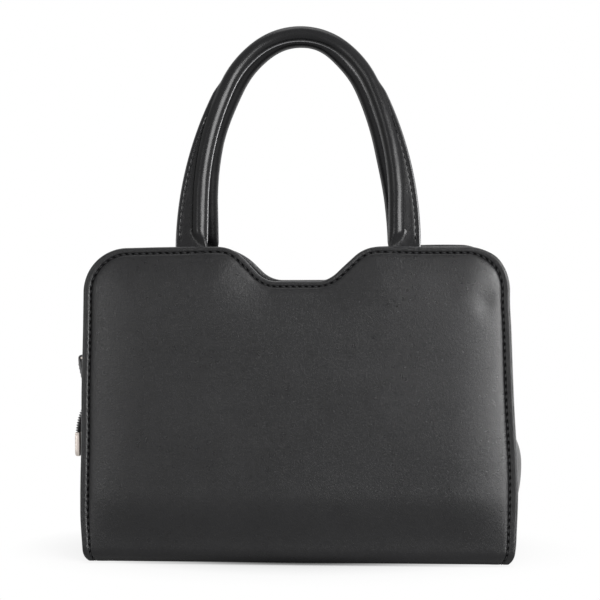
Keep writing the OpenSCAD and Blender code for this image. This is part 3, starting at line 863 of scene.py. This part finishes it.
def gusset(top, seed):
    """Half of a side gusset: its lip behind the front panel, and its swollen web."""
    lip = gusset_lip(top)
    section = [(half_w - 0.15, 0.0), (half_w - 1.6, 0.0), (half_w - 3.2, 0.0),
               (strip_x + 0.95, 0.08), (strip_x + 0.5, 0.4)]
    web_in, web_clear, step = 0.95, 0.9, 2.2
    points, faces, m = [], [], len(lip)
    for x_lip, w in section:
        line = offset_line(lip, -w)
        for (y, z), (_, lz) in zip(line, lip):
            narrow = foot_in * eased((fold_z + 2 - lz) / 9) ** 1.4 if lz < fold_z + 2 else 0.0
            points.append((x_lip - narrow * (x_lip - strip_x) / seam_w, y, z))
    for k in range(len(section) - 1):
        for i in range(m - 1):
            a, b = k * m + i, (k + 1) * m + i
            faces.append((a, a + 1, b + 1, b))
    start = (len(section) - 1) * m
    rim = offset_line(lip, -web_in)
    rim[0] = (rim[0][0], top)
    rim[-1] = (0.0, rim[-1][1])
    flat, top_row, middle_row = list(rim), [], []
    from_lip = distance_to(lip)
    rows = int((top - rim[-1][1]) / step)
    for row in range(1, rows + 1):
        z = mixed(rim[-1][1], top, row / rows)
        y = 0.0
        while y > -wall_y(z, lip_depth) + web_in + web_clear:
            if from_lip(y, z) > web_in + web_clear:
                if row == rows and y < 0:
                    top_row.append(len(flat))
                if y == 0.0:
                    middle_row.append(len(flat))
                flat.append((y, z))
            y -= step
    outline = list(range(m)) + middle_row + top_row
    done, _, tris, source, _, _ = delaunay_2d_cdt([Vector(p) for p in flat], [], [outline], 1, 1e-4)
    base = len(points)
    for y, z in done:
        w = from_lip(y, z)
        swollen = gusset_bulge(y, z)
        pucker = ripple(y / 7.0, z / 16.0, seed) * 0.55 + ripple(y / 3.2, z / 10.0, seed + 3) * 0.22
        x = strip_x + swollen * grown(w, 2.2) + 0.3 * math.exp(-w)
        x += pucker * math.exp(-w / 9.0) * min(swollen / 4, 1.0) * grown(w, 1.5)
        # The top edge is turned over, so it stands out
        x += 0.75 * eased((z - top + 7.5) / 1.2) * grown(w, 2.0)
        points.append((x, y, z))
    if twice_area(done, tris) > 0:
        tris = [face[::-1] for face in tris]
    index = {}
    for j, came in enumerate(source):
        for i in came:
            if i < m:
                index[base + j] = start + i
    web = [tuple(index.get(base + i, base + i) for i in face) for face in tris]
    # The lip and the web turn the same way, and face outwards along +X
    faces = [face[::-1] for face in faces] + web
    normals = normals_of(points, faces)
    if sum(n.x for n in normals[start:]) < 0:
        faces = [face[::-1] for face in faces]
        normals = [-n for n in normals]
    inner = []
    for p, n in zip(points, normals):
        q = Vector(p) - n * (leather_t - 0.05)
        inner.append((q.x, min(q.y, 0.0) if abs(p[1]) > 1e-6 else 0.0, max(q.z, 1.7)))
    return Shape().skin_over(points, inner, faces, (0, 1, 0))


def gusset_stitches(top):
    """A row of stitches under the turned top edge of a gusset."""
    shape = Shape()
    z = top - 2.4
    y = -wall_y(top, lip_depth) + 3.0
    while y < -1.0:
        shape.bead((strip_x + 0.72, y, z), (0, 1, 0.1), (1, 0, 0), *gusset_stitch)
        y += 3.2
    return shape


# ---------------------------------------------------------------- handles

leg_in, leg_w, roll_r, leg_edge_r, leg_edge_h = 53.0, 18.5, 4.5, 216.0, 94.0
crown_r, crown_a, shoulder_r, shoulder_a = 40.5, math.radians(40), 59.5, math.radians(66)
grip_lean, grip_y, grip_z, handle_top = math.radians(11), 37.79, 182.7, 128.3
leg_foot, tuck, handle_seam_in = -0.48, 15.0, 2.7
roll_x = leg_in + roll_r
side_x = roll_x - crown_r * math.sin(crown_a) - shoulder_r * (math.sin(shoulder_a) - math.sin(crown_a))
side_r = side_x / (1 - math.sin(shoulder_a))
crown_drop = crown_r * (1 - math.cos(crown_a)) + shoulder_r * (math.cos(crown_a) - math.cos(shoulder_a))
leg_run = handle_top - crown_drop - side_r * math.cos(shoulder_a) - leg_foot


def on_handle(x, t, h):
    """A point of a handle: x across, t out to the front, h up from its fold."""
    tilt = mixed(lean, grip_lean, eased(h / 4))
    up, down = max(h, 0.0), min(h, 0.0)
    return (x, -grip_y - t * math.cos(tilt) + up * math.sin(grip_lean) + down * math.sin(lean),
            grip_z + t * math.sin(tilt) + up * math.cos(grip_lean) + down * math.cos(lean))


def handle_stations(step=1.5):
    """From foot to foot: the roll's middle, the way out of its curve, the leather's reach."""
    legs = [(leg_run, 0), (side_r * (math.pi / 2 - shoulder_a), math.pi / 2 - shoulder_a),
            (shoulder_r * (shoulder_a - crown_a), shoulder_a - crown_a)]
    top = [(2 * crown_r * crown_a, 2 * crown_a)]
    line = walked([(tuck, 0)] + legs + top + legs[::-1] + [(tuck, 0)],
                  roll_x, leg_foot - tuck, math.pi / 2, step)
    found = []
    for (x, h), (dx, dh) in zip(line, headings(line)):
        nx, nh = dh, -dx
        level, out = max(h, 0.0), nx if x > 0 else -nx
        off = abs(x) - (leg_in + leg_w - leg_edge_r)
        along = off * out + level * nh
        reach = root(along * along - off * off - level * level + leg_edge_r ** 2) - along
        reach = roll_r + max(reach - roll_r, 0.0) * eased((leg_edge_h - h) / 11 + 0.5)
        found.append((x, h, nx, nh, reach))
    return found


def roll_half(c, h, reach):
    """Half the thickness of a handle, c out from the middle of its roll."""
    tube_r = mixed(0.6, roll_r, eased((h + 1.5) / 9.5) ** 0.7)
    half = mixed(0.58, 1.15, eased(h / 9))
    rim = 1.0
    for edge in (reach - c, c + roll_r):
        if edge < 0.9:
            rim = min(rim, root(1 - ((0.9 - edge) / 0.9) ** 2))
    round_part = root(tube_r ** 2 - (c + roll_r - tube_r) ** 2)
    flat_part = eased((reach - roll_r) / 3)
    fillet = 0.9 + 2.1 * flat_part * hill(c + roll_r - 2 * tube_r, 3.2)
    thick = soft_max(round_part, half * rim, fillet) if rim > 0 else 0.0
    groove = 0.34 * flat_part * hill(c - reach + handle_seam_in, 0.42) * eased(h / 5)
    return max(thick - groove, 0.0)


def handle_roll(seed):
    """The leather of a handle: a roll, with a flat sewn part on the outside of each leg."""
    rings, run = [], 0.0
    for x, h, nx, nh, reach in handle_stations():
        limit = reach - 3.7
        places = [-roll_r * math.cos(math.pi / 2 * k / 7) for k in range(8)]
        places += [roll_r * math.sin(math.pi / 2 * k / 7) for k in range(1, 8)]
        places += [mixed(roll_r, reach - 3.6, k / 4) for k in range(1, 4)]
        places = [min(c, limit - 0.03 * (len(places) - k)) for k, c in enumerate(places)]
        places += [reach - d for d in (3.6, 3.15, 2.7, 2.25, 1.8, 1.2, 0.7, 0.3, 0.07, 0.0)]
        upper = []
        for k, c in enumerate(places):
            t = 0.0 if k in (0, len(places) - 1) else roll_half(c, h, reach)
            dent = ripple(run / 11, c / 4, seed) * 0.16 * min(t / 3, 1.0)
            upper.append((c, t + dent))
        section = upper + [(c, -t) for c, t in upper[-2:0:-1]]
        rings.append([on_handle(x + nx * c, t, h + nh * c) for c, t in section])
        run += 1.5
    return tube(rings, second=range(len(upper) - 4, len(upper) + 2))


def inner_bead():
    """The cut edge of the handle's leather, along the inside of its curve. It is coloured pale as a
    painted rim reflection.
    """
    rings = []
    for x, h, nx, nh, _ in handle_stations():
        if h < 0.5:
            continue
        c, r = -roll_r - 0.02, 0.3 * eased(h / 3) + 0.05
        rings.append([on_handle(x + nx * (c + r * math.cos(a)), r * 1.2 * math.sin(a),
                                h + nh * (c + r * math.cos(a))) for a in around(8)])
    return tube(rings)


def settled(z):
    """The top of a handle has sunk a little with use."""
    return z - 0.95 * eased((z - 272) / 36)


def sits_right(p):
    """The front handle sits a little to the right."""
    return p[0] * 0.993 + 0.9, p[1], settled(p[2])


def leans_in(p):
    """The rear handle's right leg leans in, and the top of its left leg a little."""
    h = (p[2] - grip_z) / math.cos(grip_lean)
    right = 4.6 * eased(h / 60) * eased(p[0] / 30)
    left = 2.2 * eased((h - 62) / 40) * eased(-p[0] / 25)
    return p[0] - right + left, p[1], settled(p[2])


def hangs_in(p):
    """The pull tab hangs towards the side of the bag."""
    x, y, z = p
    return x + 2.2 * eased((pin_z - 1 - z) / 15) * eased((-127.5 - x) / 3), y, z


def handle_stitches():
    shape = Shape()
    stations = [s for s in handle_stations() if s[1] > 1.0 and s[4] > roll_r + 1.6]
    for sign in (1, -1):
        leg = [s for s in stations if s[0] * sign > 0]
        leg.sort(key=lambda s: s[1])
        line = [(x + nx * (reach - handle_seam_in), h + nh * (reach - handle_seam_in))
                for x, h, nx, nh, reach in leg]
        for (x, h), (dx, dh) in spaced(line, stitch_pitch, 2.0):
            for face in (1, -1):
                middle = Vector(on_handle(x, face * 0.98, h))
                along = Vector(on_handle(x + dx, face * 0.98, h + dh)) - middle
                out = Vector((0, -math.cos(grip_lean), math.sin(grip_lean))) * face
                tilt = along.normalized().cross(out) * 0.14
                shape.bead(middle, along.normalized() + tilt, out, *handle_stitch)
    return shape


# ---------------------------------------------------------------- linings

def lined(outline, step, place, seed, wave=0.22):
    """A cloth cut to an outline, 0.8 thick, with small waves; place takes x, s and a depth."""
    from_edge = distance_to(outline)
    xs, ss = [p[0] for p in outline], [p[1] for p in outline]
    points, row, s = list(outline), 0, min(ss) + step
    while s < max(ss):
        x = min(xs) + (step / 2 if row % 2 else step)
        while x < max(xs):
            if from_edge(x, s) > step * 0.45 and within(x, s, outline):
                points.append((x, s))
            x += step
        s += step
        row += 1
    flat, _, faces, _, _, _ = delaunay_2d_cdt([Vector(p) for p in points], [],
                                              [list(range(len(outline)))], 1, 1e-4)
    outer, inner = [], []
    for x, s in flat:
        lift = wave * grown(from_edge(x, s), 6) * (1 + ripple(x / 24, s / 30, seed))
        outer.append(place(x, s, lift))
        inner.append(place(x, s, lift + lining_t))
    if twice_area(flat, faces) < 0:
        faces = [face[::-1] for face in faces]
    return Shape().skin_over(outer, inner, faces).outwards()


def evenly(points, step):
    """A closed outline with a point at least every step."""
    found = []
    for a, b in zip(points, points[1:] + points[:1]):
        count = max(int(math.dist(a, b) / step), 1)
        found += [(mixed(a[0], b[0], k / count), mixed(a[1], b[1], k / count)) for k in range(count)]
    return found


def rounded(half_x, low, high, r, corners=(1, 1, 1, 1)):
    """Outline of a rectangle, its corners rounded: lower right, upper right, upper left, lower left."""
    points = []
    places = ((half_x, low, -90), (half_x, high, 0), (-half_x, high, 90), (-half_x, low, 180))
    for (x, z, turn), is_round in zip(places, corners):
        if not is_round:
            points.append((x, z))
            continue
        points += arc(x - math.copysign(r, x), z + (r if z == low else -r), r, turn, 6)
    return points


def lining_outline():
    """The edge of the front lining, inside the lip of the gusset."""
    half = offset_line(half_edge(8.8, 3.0), 7.2)
    half[0] = (0.0, half[0][1])
    return evenly([(-x, z) for x, z in reversed(half[1:])] + half, 5.0)


# ---------------------------------------------------------------- slider, puller and zip end

pin_z, bar_x = 115.055, -131.785
wire_r = 0.8


def wire_ring():
    """A bent wire: round the slider's ear and through the pull tab."""
    near, y, r = -123.885, 5.9, 2.0
    path = []
    for cx, cy, turn in ((near - r, y - r, 0), (bar_x + r, y - r, 90), (bar_x + r, r - y, 180),
                         (near - r, r - y, 270)):
        path += arc(cx, cy, r, turn, 7)
    rings = []
    for i, (x, y) in enumerate(path):
        a, b = path[i - 1], path[(i + 1) % len(path)]
        n = Vector((b[1] - a[1], a[0] - b[0], 0)).normalized()
        rings.append([Vector((x, y, pin_z)) + n * (wire_r * math.cos(t))
                      + Vector((0, 0, wire_r * math.sin(t)))
                      for t in around(12)])
    return tube(rings, closed=True)


def plump_section(half_t, half_y, r):
    """A rounded rectangle of half the given sizes, five points to each corner."""
    return [p for st, sy, turn in ((1, 1, 0), (-1, 1, 90), (-1, -1, 180), (1, -1, 270))
            for p in arc(st * (half_t - r), sy * (half_y - r), r, turn, 5)]


def tab_leather():
    """The pull tab: one strip of leather, folded round the ring and sewn to itself."""
    low, neck = 98.3, pin_z - 2.6
    # From the middle of the tab, height, half a thickness, and the angle round the bar
    stations = [(0.90, mixed(low, neck, k / 24), 0.86, math.pi) for k in range(25)]
    for k in range(1, 5):
        t = eased(k / 4)
        stations.append((mixed(0.90, 1.36, t), mixed(neck, pin_z, k / 4),
                         mixed(0.86, 0.44, t), math.pi))
    turns = [(1.36, pin_z, 0.44, math.pi - math.pi * k / 10) for k in range(1, 10)]
    rings = []
    for side, group in ((1, stations), (0, turns), (-1, stations[::-1])):
        for off, z, half, angle in group:
            if side:
                middle, out = Vector((bar_x - side * off, 0, z)), Vector((-side, 0, 0))
            else:
                out = Vector((math.cos(angle), 0, math.sin(angle)))
                middle = Vector((bar_x, 0, pin_z)) + out * off
            end = min(z - low, 1.8) if side else 1.8
            width = 4.8 - 1.8 * (1 - root(1 - ((1.8 - end) / 1.8) ** 2))
            squeeze = min(0.4 + end, 1.0) if side else 1.0
            rings.append([middle + out * (t * squeeze) + Vector((0, y, 0))
                          for t, y in plump_section(half, width, 0.32)])
    return tube(rings, second=(2, 3, 4, 5, 6, 12, 13, 14, 15, 16))


def tab_stitches():
    shape = Shape()
    low, high, y = 99.9, pin_z - 3.2, 3.3
    line = [(-y, high), (-y, low), (y, low), (y, high)]
    for face in (-1, 1):
        for (sy, sz), (dy, dz) in spaced(line, 2.35, 1.0):
            shape.bead((bar_x + face * 1.76, sy, sz), (0, dy, dz), (face, 0, 0), *tab_stitch)
    return shape


# The free zip end hangs along an arc
tail_turn_r, tail_mid = 35.96, (97.89, 68.12)
tail_start, tail_end = math.radians(50.83), math.radians(1.2)


def tail_strip():
    """The tape of the free zip end, with its raised edges and the seam of its coil."""
    face = [(0.0, 5.6), (0.3, 5.5), (0.42, 5.0), (0.3, 4.4), (0.3, 3.3), (0.62, 2.9), (0.45, 2.5)]
    back = [(-0.30, -5.5), (-0.34, -3.2), (-0.34, 0.0), (-0.34, 3.2), (-0.30, 5.5)]
    section = back + face + [(0.32, 0.0)] + [(t, -y) for t, y in reversed(face)]
    rings = []
    for k in range(33):
        a = mixed(tail_start, tail_end, k / 32)
        rings.append([(-tail_mid[0] - (tail_turn_r + t) * math.cos(a), y,
                       tail_mid[1] + (tail_turn_r + t) * math.sin(a)) for t, y in section])
    return tube(rings)


def tail_coil():
    shape = Shape()
    a, k = tail_start - 0.02, 0
    while a > tail_end + 0.03:
        out = Vector((-math.cos(a), 0, math.sin(a)))
        middle = Vector((-tail_mid[0], 0, tail_mid[1])) + out * (tail_turn_r + 1.12)
        shape.bead(middle, (0, 1, 0.04 * (-1) ** k), out, *tail_coil_turn, 8, 6)
        a -= coil_pitch / tail_turn_r
        k += 1
    return shape


def tail_cap():
    """The folded metal cap that closes the zip's free end."""
    # Height, half a thickness, half a width and corner radius
    outside = ((55.55, 0.35, 4.2, 0.3), (55.68, 0.95, 5.0, 0.6), (56.1, 1.4, 5.7, 0.8),
               (56.9, 1.62, 6.2, 0.85), (58.0, 1.68, 6.42, 0.85), (60.0, 1.7, 6.5, 0.85),
               (64.0, 1.7, 6.5, 0.85), (67.6, 1.7, 6.5, 0.85))
    bead = ((68.1, 1.68, 6.48, 0.85), (68.35, 1.52, 6.32, 0.8), (68.6, 1.52, 6.32, 0.8),
            (68.85, 1.68, 6.48, 0.85), (69.6, 1.7, 6.5, 0.85), (69.9, 1.6, 6.4, 0.8))
    mouth = ((70.0, 1.4, 6.2, 0.7), (69.9, 1.15, 5.95, 0.5), (69.2, 1.05, 5.85, 0.45),
             (68.2, 1.0, 5.8, 0.4))
    return tube([[(-133.8 + t, y, z) for t, y in plump_section(half_t, half_y, r)]
                 for z, half_t, half_y, r in outside + bead + mouth])


def end_tongue():
    """The tongue of leather that covers the right end of the zip."""
    low, half, x = 75.9, 7.1, strip_x + 0.75

    def outline(inset):
        r = half - inset
        top = low + 2 * half
        points = [(-r, low + inset * 0.6 + (top - low) * k / 8) for k in range(8)]
        points += [(-r * math.cos(math.radians(12 * k)), top + r * math.sin(math.radians(12 * k)))
                   for k in range(16)]
        points += [(r, top - (top - low) * k / 8) for k in range(1, 8)] + [(r, low + inset * 0.6)]
        return points + [(mixed(r, -r, k / 6), low + inset * 0.6) for k in range(1, 6)]

    edge = ((4.0, 0.0), (0.3, 0.0), (0.05, 0.25), (0.0, 0.8), (0.1, 1.3), (0.45, 1.62), (1.0, 1.75))
    top_face = ((1.5, 1.55), (1.9, 1.45), (2.3, 1.6), (3.0, 1.78), (4.4, 1.85), (5.8, 1.88))
    rings = [[(x + out, y, z) for y, z in outline(inset)] for inset, out in edge + top_face]
    sewing = Shape()
    line = outline(1.9)
    for (y, z), (dy, dz) in spaced(line[:31], 3.0, 0.8):
        sewing.bead((x + 1.5, y, z), (0, dy, dz), (1, 0, 0), *tongue_stitch)
    return tube(rings), sewing


def softened(node, finish, width=0.22):
    """A copy of a metal part of the CAD model with its edges rounded off."""
    source = bpy.data.objects[node]
    mesh = source.data.copy()
    mesh.materials.clear()
    mesh.materials.append(finish)
    copy = bpy.data.objects.new(node + "_metal", mesh)
    copy.matrix_world = source.matrix_world.copy()
    bpy.context.scene.collection.objects.link(copy)
    work = bmesh.new()
    work.from_mesh(mesh)
    bmesh.ops.remove_doubles(work, verts=work.verts, dist=1e-6)
    bmesh.ops.dissolve_limit(work, angle_limit=math.radians(1.5), verts=work.verts, edges=work.edges)
    rims = [e for e in work.edges if len(e.link_faces) == 2 and e.calc_face_angle() > math.radians(35)]
    bmesh.ops.bevel(work, geom=rims, offset=width * MM, segments=2, profile=0.6, affect="EDGES",
                    clamp_overlap=True)
    work.to_mesh(mesh)
    work.free()
    mesh.polygons.foreach_set("use_smooth", [True] * len(mesh.polygons))
    mesh.set_sharp_from_angle(angle=math.radians(32))
    return copy


# ---------------------------------------------------------------- the pieces

def sewn(name, shape, slot="leather", **riding):
    """A row of stitches as a piece."""
    made(name, shape, [THREAD], slot, sharp=80, **riding)


seam_stitches, paint = groove_stitches(), painted_edge()
for side, sign, wall in (("front", -1, leather_panel(0.0, (110.5, 149.0, 0.7))),
                         ("rear", 1, leather_panel(31.0, None))):
    flip = side == "rear"
    bend = ("base", side + "_side", *((0, sign * side_bend_y, z) for z in side_bend_z))
    padded = made(side + "_leather", wall.mirrored(y=flip), [LEATHER, SUEDE], "leather", bend=bend,
                  stands_for=(side + "_panel", "base_panel"))
    sewn(side + "_seam_stitches", seam_stitches.mirrored(y=flip), bend=bend)
    made(side + "_edge_paint", paint.mirrored(y=flip), [PAINT], "leather", bend=bend, sharp=80)

for hand, top, seed, tape_edge in (("left", left_top, 11.0, 1.6), ("right", right_top, 23.0, 0.3)):
    web, web_sewing = gusset(top, seed), gusset_stitches(top)
    strip, strip_sewing, tape = zip_strip(top), strip_stitches(top), zip_tape(top, tape_edge)
    for side, sign in (("front", -1), ("rear", 1)):
        prefix, body = side + "_" + hand, side + "_side"
        flips = (hand == "left", side == "rear")
        across = {"bend": ("base", body, (0, 0, 50), (0, sign * wall_y(50, lip_depth) * 0.94, 50))}
        # The slider rides on the rear side, so the zip on that side at the left stays rigid
        rigid = prefix == "rear_left"
        along = {"body": body} if rigid else {"bend": ("base", body, *zip_bend(sign, top))}
        made(prefix + "_gusset", web.mirrored(*flips), [LEATHER, SUEDE], "leather",
             stands_for=(hand + "_gusset",), sharp=60, **across)
        sewn(prefix + "_gusset_stitches", web_sewing.mirrored(*flips), **across)
        made(prefix + "_zip_strip", strip.mirrored(*flips), [LEATHER], "leather",
             stands_for=(side + "_zip_gusset",), **along)
        sewn(prefix + "_strip_stitches", strip_sewing.mirrored(*flips), **along)
        made(prefix + "_zip_tape", tape.mirrored(*flips), [TAPE], "zip_tape",
             stands_for=(side + "_zip_tape",), **along)
        # The two rows stand half a pitch apart
        row = coil_row(top, coil_pitch * (0.5 if side == "front" else float(hand == "left")))
        made(prefix + "_zip_coil", row.mirrored(*flips), [COIL], "zip_teeth",
             stands_for=(side + "_zip_teeth",), sharp=80, **along)

for side, sign, sit, seed in (("front", -1, sits_right, 3.0), ("rear", 1, leans_in, 17.0)):
    flip = side == "rear"
    riding = {"bend": (side + "_side", side + "_handle", (0, sign * 37.9, 181.2),
                       (0, sign * 36.9, 186.5)), "warp": False}
    made(side + "_handle_roll", handle_roll(seed).bent(sit).mirrored(y=flip), [HANDLE, PAINT],
         "leather", stands_for=(side + "_handle_leather", side + "_handle_ends"), sharp=60, **riding)
    made(side + "_handle_bead", inner_bead().bent(sit).mirrored(y=flip), [CUT_EDGE_AND_PAINTED_RIM], "leather",
         **riding)
    sewn(side + "_handle_stitches", handle_stitches().bent(sit).mirrored(y=flip), **riding)


def on_wall(x, z, depth):
    """A point on the inside of the front board, a depth behind it."""
    return x, -wall_y(z, lining_in + depth), z


def on_pocket(x, z, depth):
    """A point of the slip pocket, whose mouth stands off a little."""
    return on_wall(x, z, 0.82 + depth + 1.4 * hill(z - 128, 9) * (1 - (x / 68) ** 2))


def cloth(name, shape, body, node, under):
    """A stretched cloth."""
    piece = made(name, shape, [LINING], "lining", body=body, stands_for=(node,), warp=False)


lining = lined(lining_outline(), 5.5, on_wall, 2.0)
for side in ("front", "rear"):
    cloth(side + "_lining_cloth", lining.mirrored(y=side == "rear"),
          side + "_side", side + "_lining", side + "_leather")
floor_outline = evenly(rounded(117.6, -45.8, 45.8, 4.0), 5.0)
cloth("base_lining_cloth", lined(floor_outline, 5.5, lambda x, y, d: (x, y, lining_in + d), 8.0, 0.15),
      "base", "base_lining", "base_board")
pocket_outline = evenly(rounded(68.0, 42.0, 128.0, 10.0, (1, 0, 0, 1)), 4.0)
cloth("slip_pocket_cloth", lined(pocket_outline, 4.5, on_pocket, 13.0, 0.25).mirrored(y=True),
      "rear_side", "slip_pocket", "rear_lining_cloth")
pocket_seam, pocket_sewing = rounded(66.0, 44.0, 127.0, 8.5, (1, 0, 0, 1))[::-1], Shape()
for (x, z), (dx, dz) in spaced(pocket_seam[2:] + pocket_seam[:2], 3.4, 1.0):
    if z < 126.5:
        along = (dx, dz * math.sin(lean), dz)
        pocket_sewing.bead(on_wall(x, z, 1.75), along, (0, 1, 0.08), *pocket_stitch)
sewn("slip_pocket_stitches", pocket_sewing.mirrored(y=True), "lining", body="rear_side", warp=False)

slider = softened("zip_slider", METAL)
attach(slider, "slider")
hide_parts("zip_slider")
on_puller, on_tail = {"body": "puller", "warp": False}, {"body": "zip_end", "warp": False}
made("pull_ring_wire", wire_ring(), [METAL], "metal", stands_for=("pull_ring",), **on_puller)
made("pull_tab_leather", tab_leather().bent(hangs_in), [LEATHER, CUT_EDGE_AND_PAINTED_RIM], "leather",
     stands_for=("pull_tab",), sharp=60, **on_puller)
sewn("pull_tab_stitches", tab_stitches().bent(hangs_in), **on_puller)
made("tail_strip", tail_strip(), [TAPE], "zip_tape", stands_for=("tail_tape",), sharp=60, **on_tail)
made("tail_coil", tail_coil(), [COIL], "zip_teeth", stands_for=("tail_teeth",), sharp=80, **on_tail)
made("tail_cap", tail_cap(), [METAL], "metal", stands_for=("tail_end_cap",), sharp=50, **on_tail)
tongue, tongue_sewing = end_tongue()
made("end_tongue", tongue, [LEATHER], "leather", body="base", stands_for=("zip_end_tab",), sharp=60)
sewn("end_tongue_stitches", tongue_sewing, body="base")

for node in ("base_board", "front_board", "rear_board"):
    for material_slot in bpy.data.objects[node].material_slots:
        material_slot.material = BOARD


# ---------------------------------------------------------------- camera, lights and floor

camera = bpy.data.objects.new("camera", bpy.data.cameras.new("camera"))
bpy.context.scene.collection.objects.link(camera)
bpy.context.scene.camera = camera
camera.data.lens, camera.data.sensor_width = 99.12, 36.0
camera.data.clip_start = 0.05
camera.location = (53.9 * MM, -991.5 * MM, 171.9 * MM)
camera.rotation_euler = (math.radians(90 - 1.262), 0, math.radians(3.103))


def lamp(name, place, aim, size, power):
    """An area light, in metres and watts, turned to what it lights."""
    data = bpy.data.lights.new(name, "AREA")
    data.shape = "RECTANGLE"
    data.size, data.size_y = size
    data.energy = power
    light = bpy.data.objects.new(name, data)
    light.location = place
    light.rotation_euler = (Vector(aim) - Vector(place)).to_track_quat("-Z", "Y").to_euler()
    bpy.context.scene.collection.objects.link(light)


lamp("key_right", (1.12, -1.12, 0.56), (0, 0, 0.14), (1.25, 0.85), 82.0)
lamp("fill_left", (-1.00, -1.36, 0.35), (0, 0, 0.12), (0.45, 0.9), 11.0)
lamp("top", (0.0, 0.1, 1.5), (0, 0, 0.1), (0.9, 0.7), 8.0)

world = bpy.data.worlds.new("studio")
bpy.context.scene.world = world
world.use_nodes = True
sky = Tree(world.node_tree)
# The bag is lit dimly from all round, and what the camera sees behind it is white
dim, white = (sky.node("ShaderNodeBackground", {}, {"Color": (1, 1, 1, 1), "Strength": strength})
              for strength in (0.4, 1.0))
sky_shown = sky.node("ShaderNodeMixShader", {}, {0: sky.seen_directly(), 1: dim, 2: white})
sky.join(sky.nodes.new("ShaderNodeOutputWorld").inputs[0], sky_shown)

floor_mesh = bpy.data.meshes.new("studio_floor")
floor_half = 3.0
floor_mesh.from_pydata([(x * floor_half, y * floor_half, 0)
                        for x, y in ((-1, -1), (1, -1), (1, 1), (-1, 1))], [], [(0, 1, 2, 3)])
floor = bpy.data.objects.new("studio_floor", floor_mesh)
bpy.context.scene.collection.objects.link(floor)
floor_look = Finish("white_floor", Roughness=0.9)
# The floor's colour is dark only under the bag. This is a painted shadow, so the contact line and its
# reflection in the bag's lower fold are dark
from_middle = floor_look.node("ShaderNodeVectorMath", {"operation": "ABSOLUTE"},
                              {0: floor_look.scaled(4.5, 10.0, 1.0)})
off_x, off_y = (floor_look.axis(name, from_middle) for name in "XY")
under = off_x.maths("MAXIMUM", off_x, off_y)
floor_look.feed(Base_Color=floor_look.ramp(under, (0.53, 0.06), (0.565, 0.5)))
# Away from the bag the floor fades into plain white
far = floor_look.node("ShaderNodeVectorMath", {"operation": "LENGTH"},
                      {0: floor_look.scaled(3.4, 5.0, 1.0)}, "Value")
fade = floor_look.ramp(far, (0.24, 0.03), (0.33, 0.5), (0.44, 0.85), (0.60, 1.0))
floor_shown = floor_look.node(
    "ShaderNodeMixShader", {},
    {0: fade * floor_look.seen_directly(), 1: Signal(floor_look, floor_look.shader.outputs[0]),
     2: floor_look.node("ShaderNodeEmission", {}, {})})
floor_look.join(floor_look.output.inputs[0], floor_shown)
floor_mesh.materials.append(floor_look.material)

bpy.context.scene.view_settings.view_transform = "Standard"
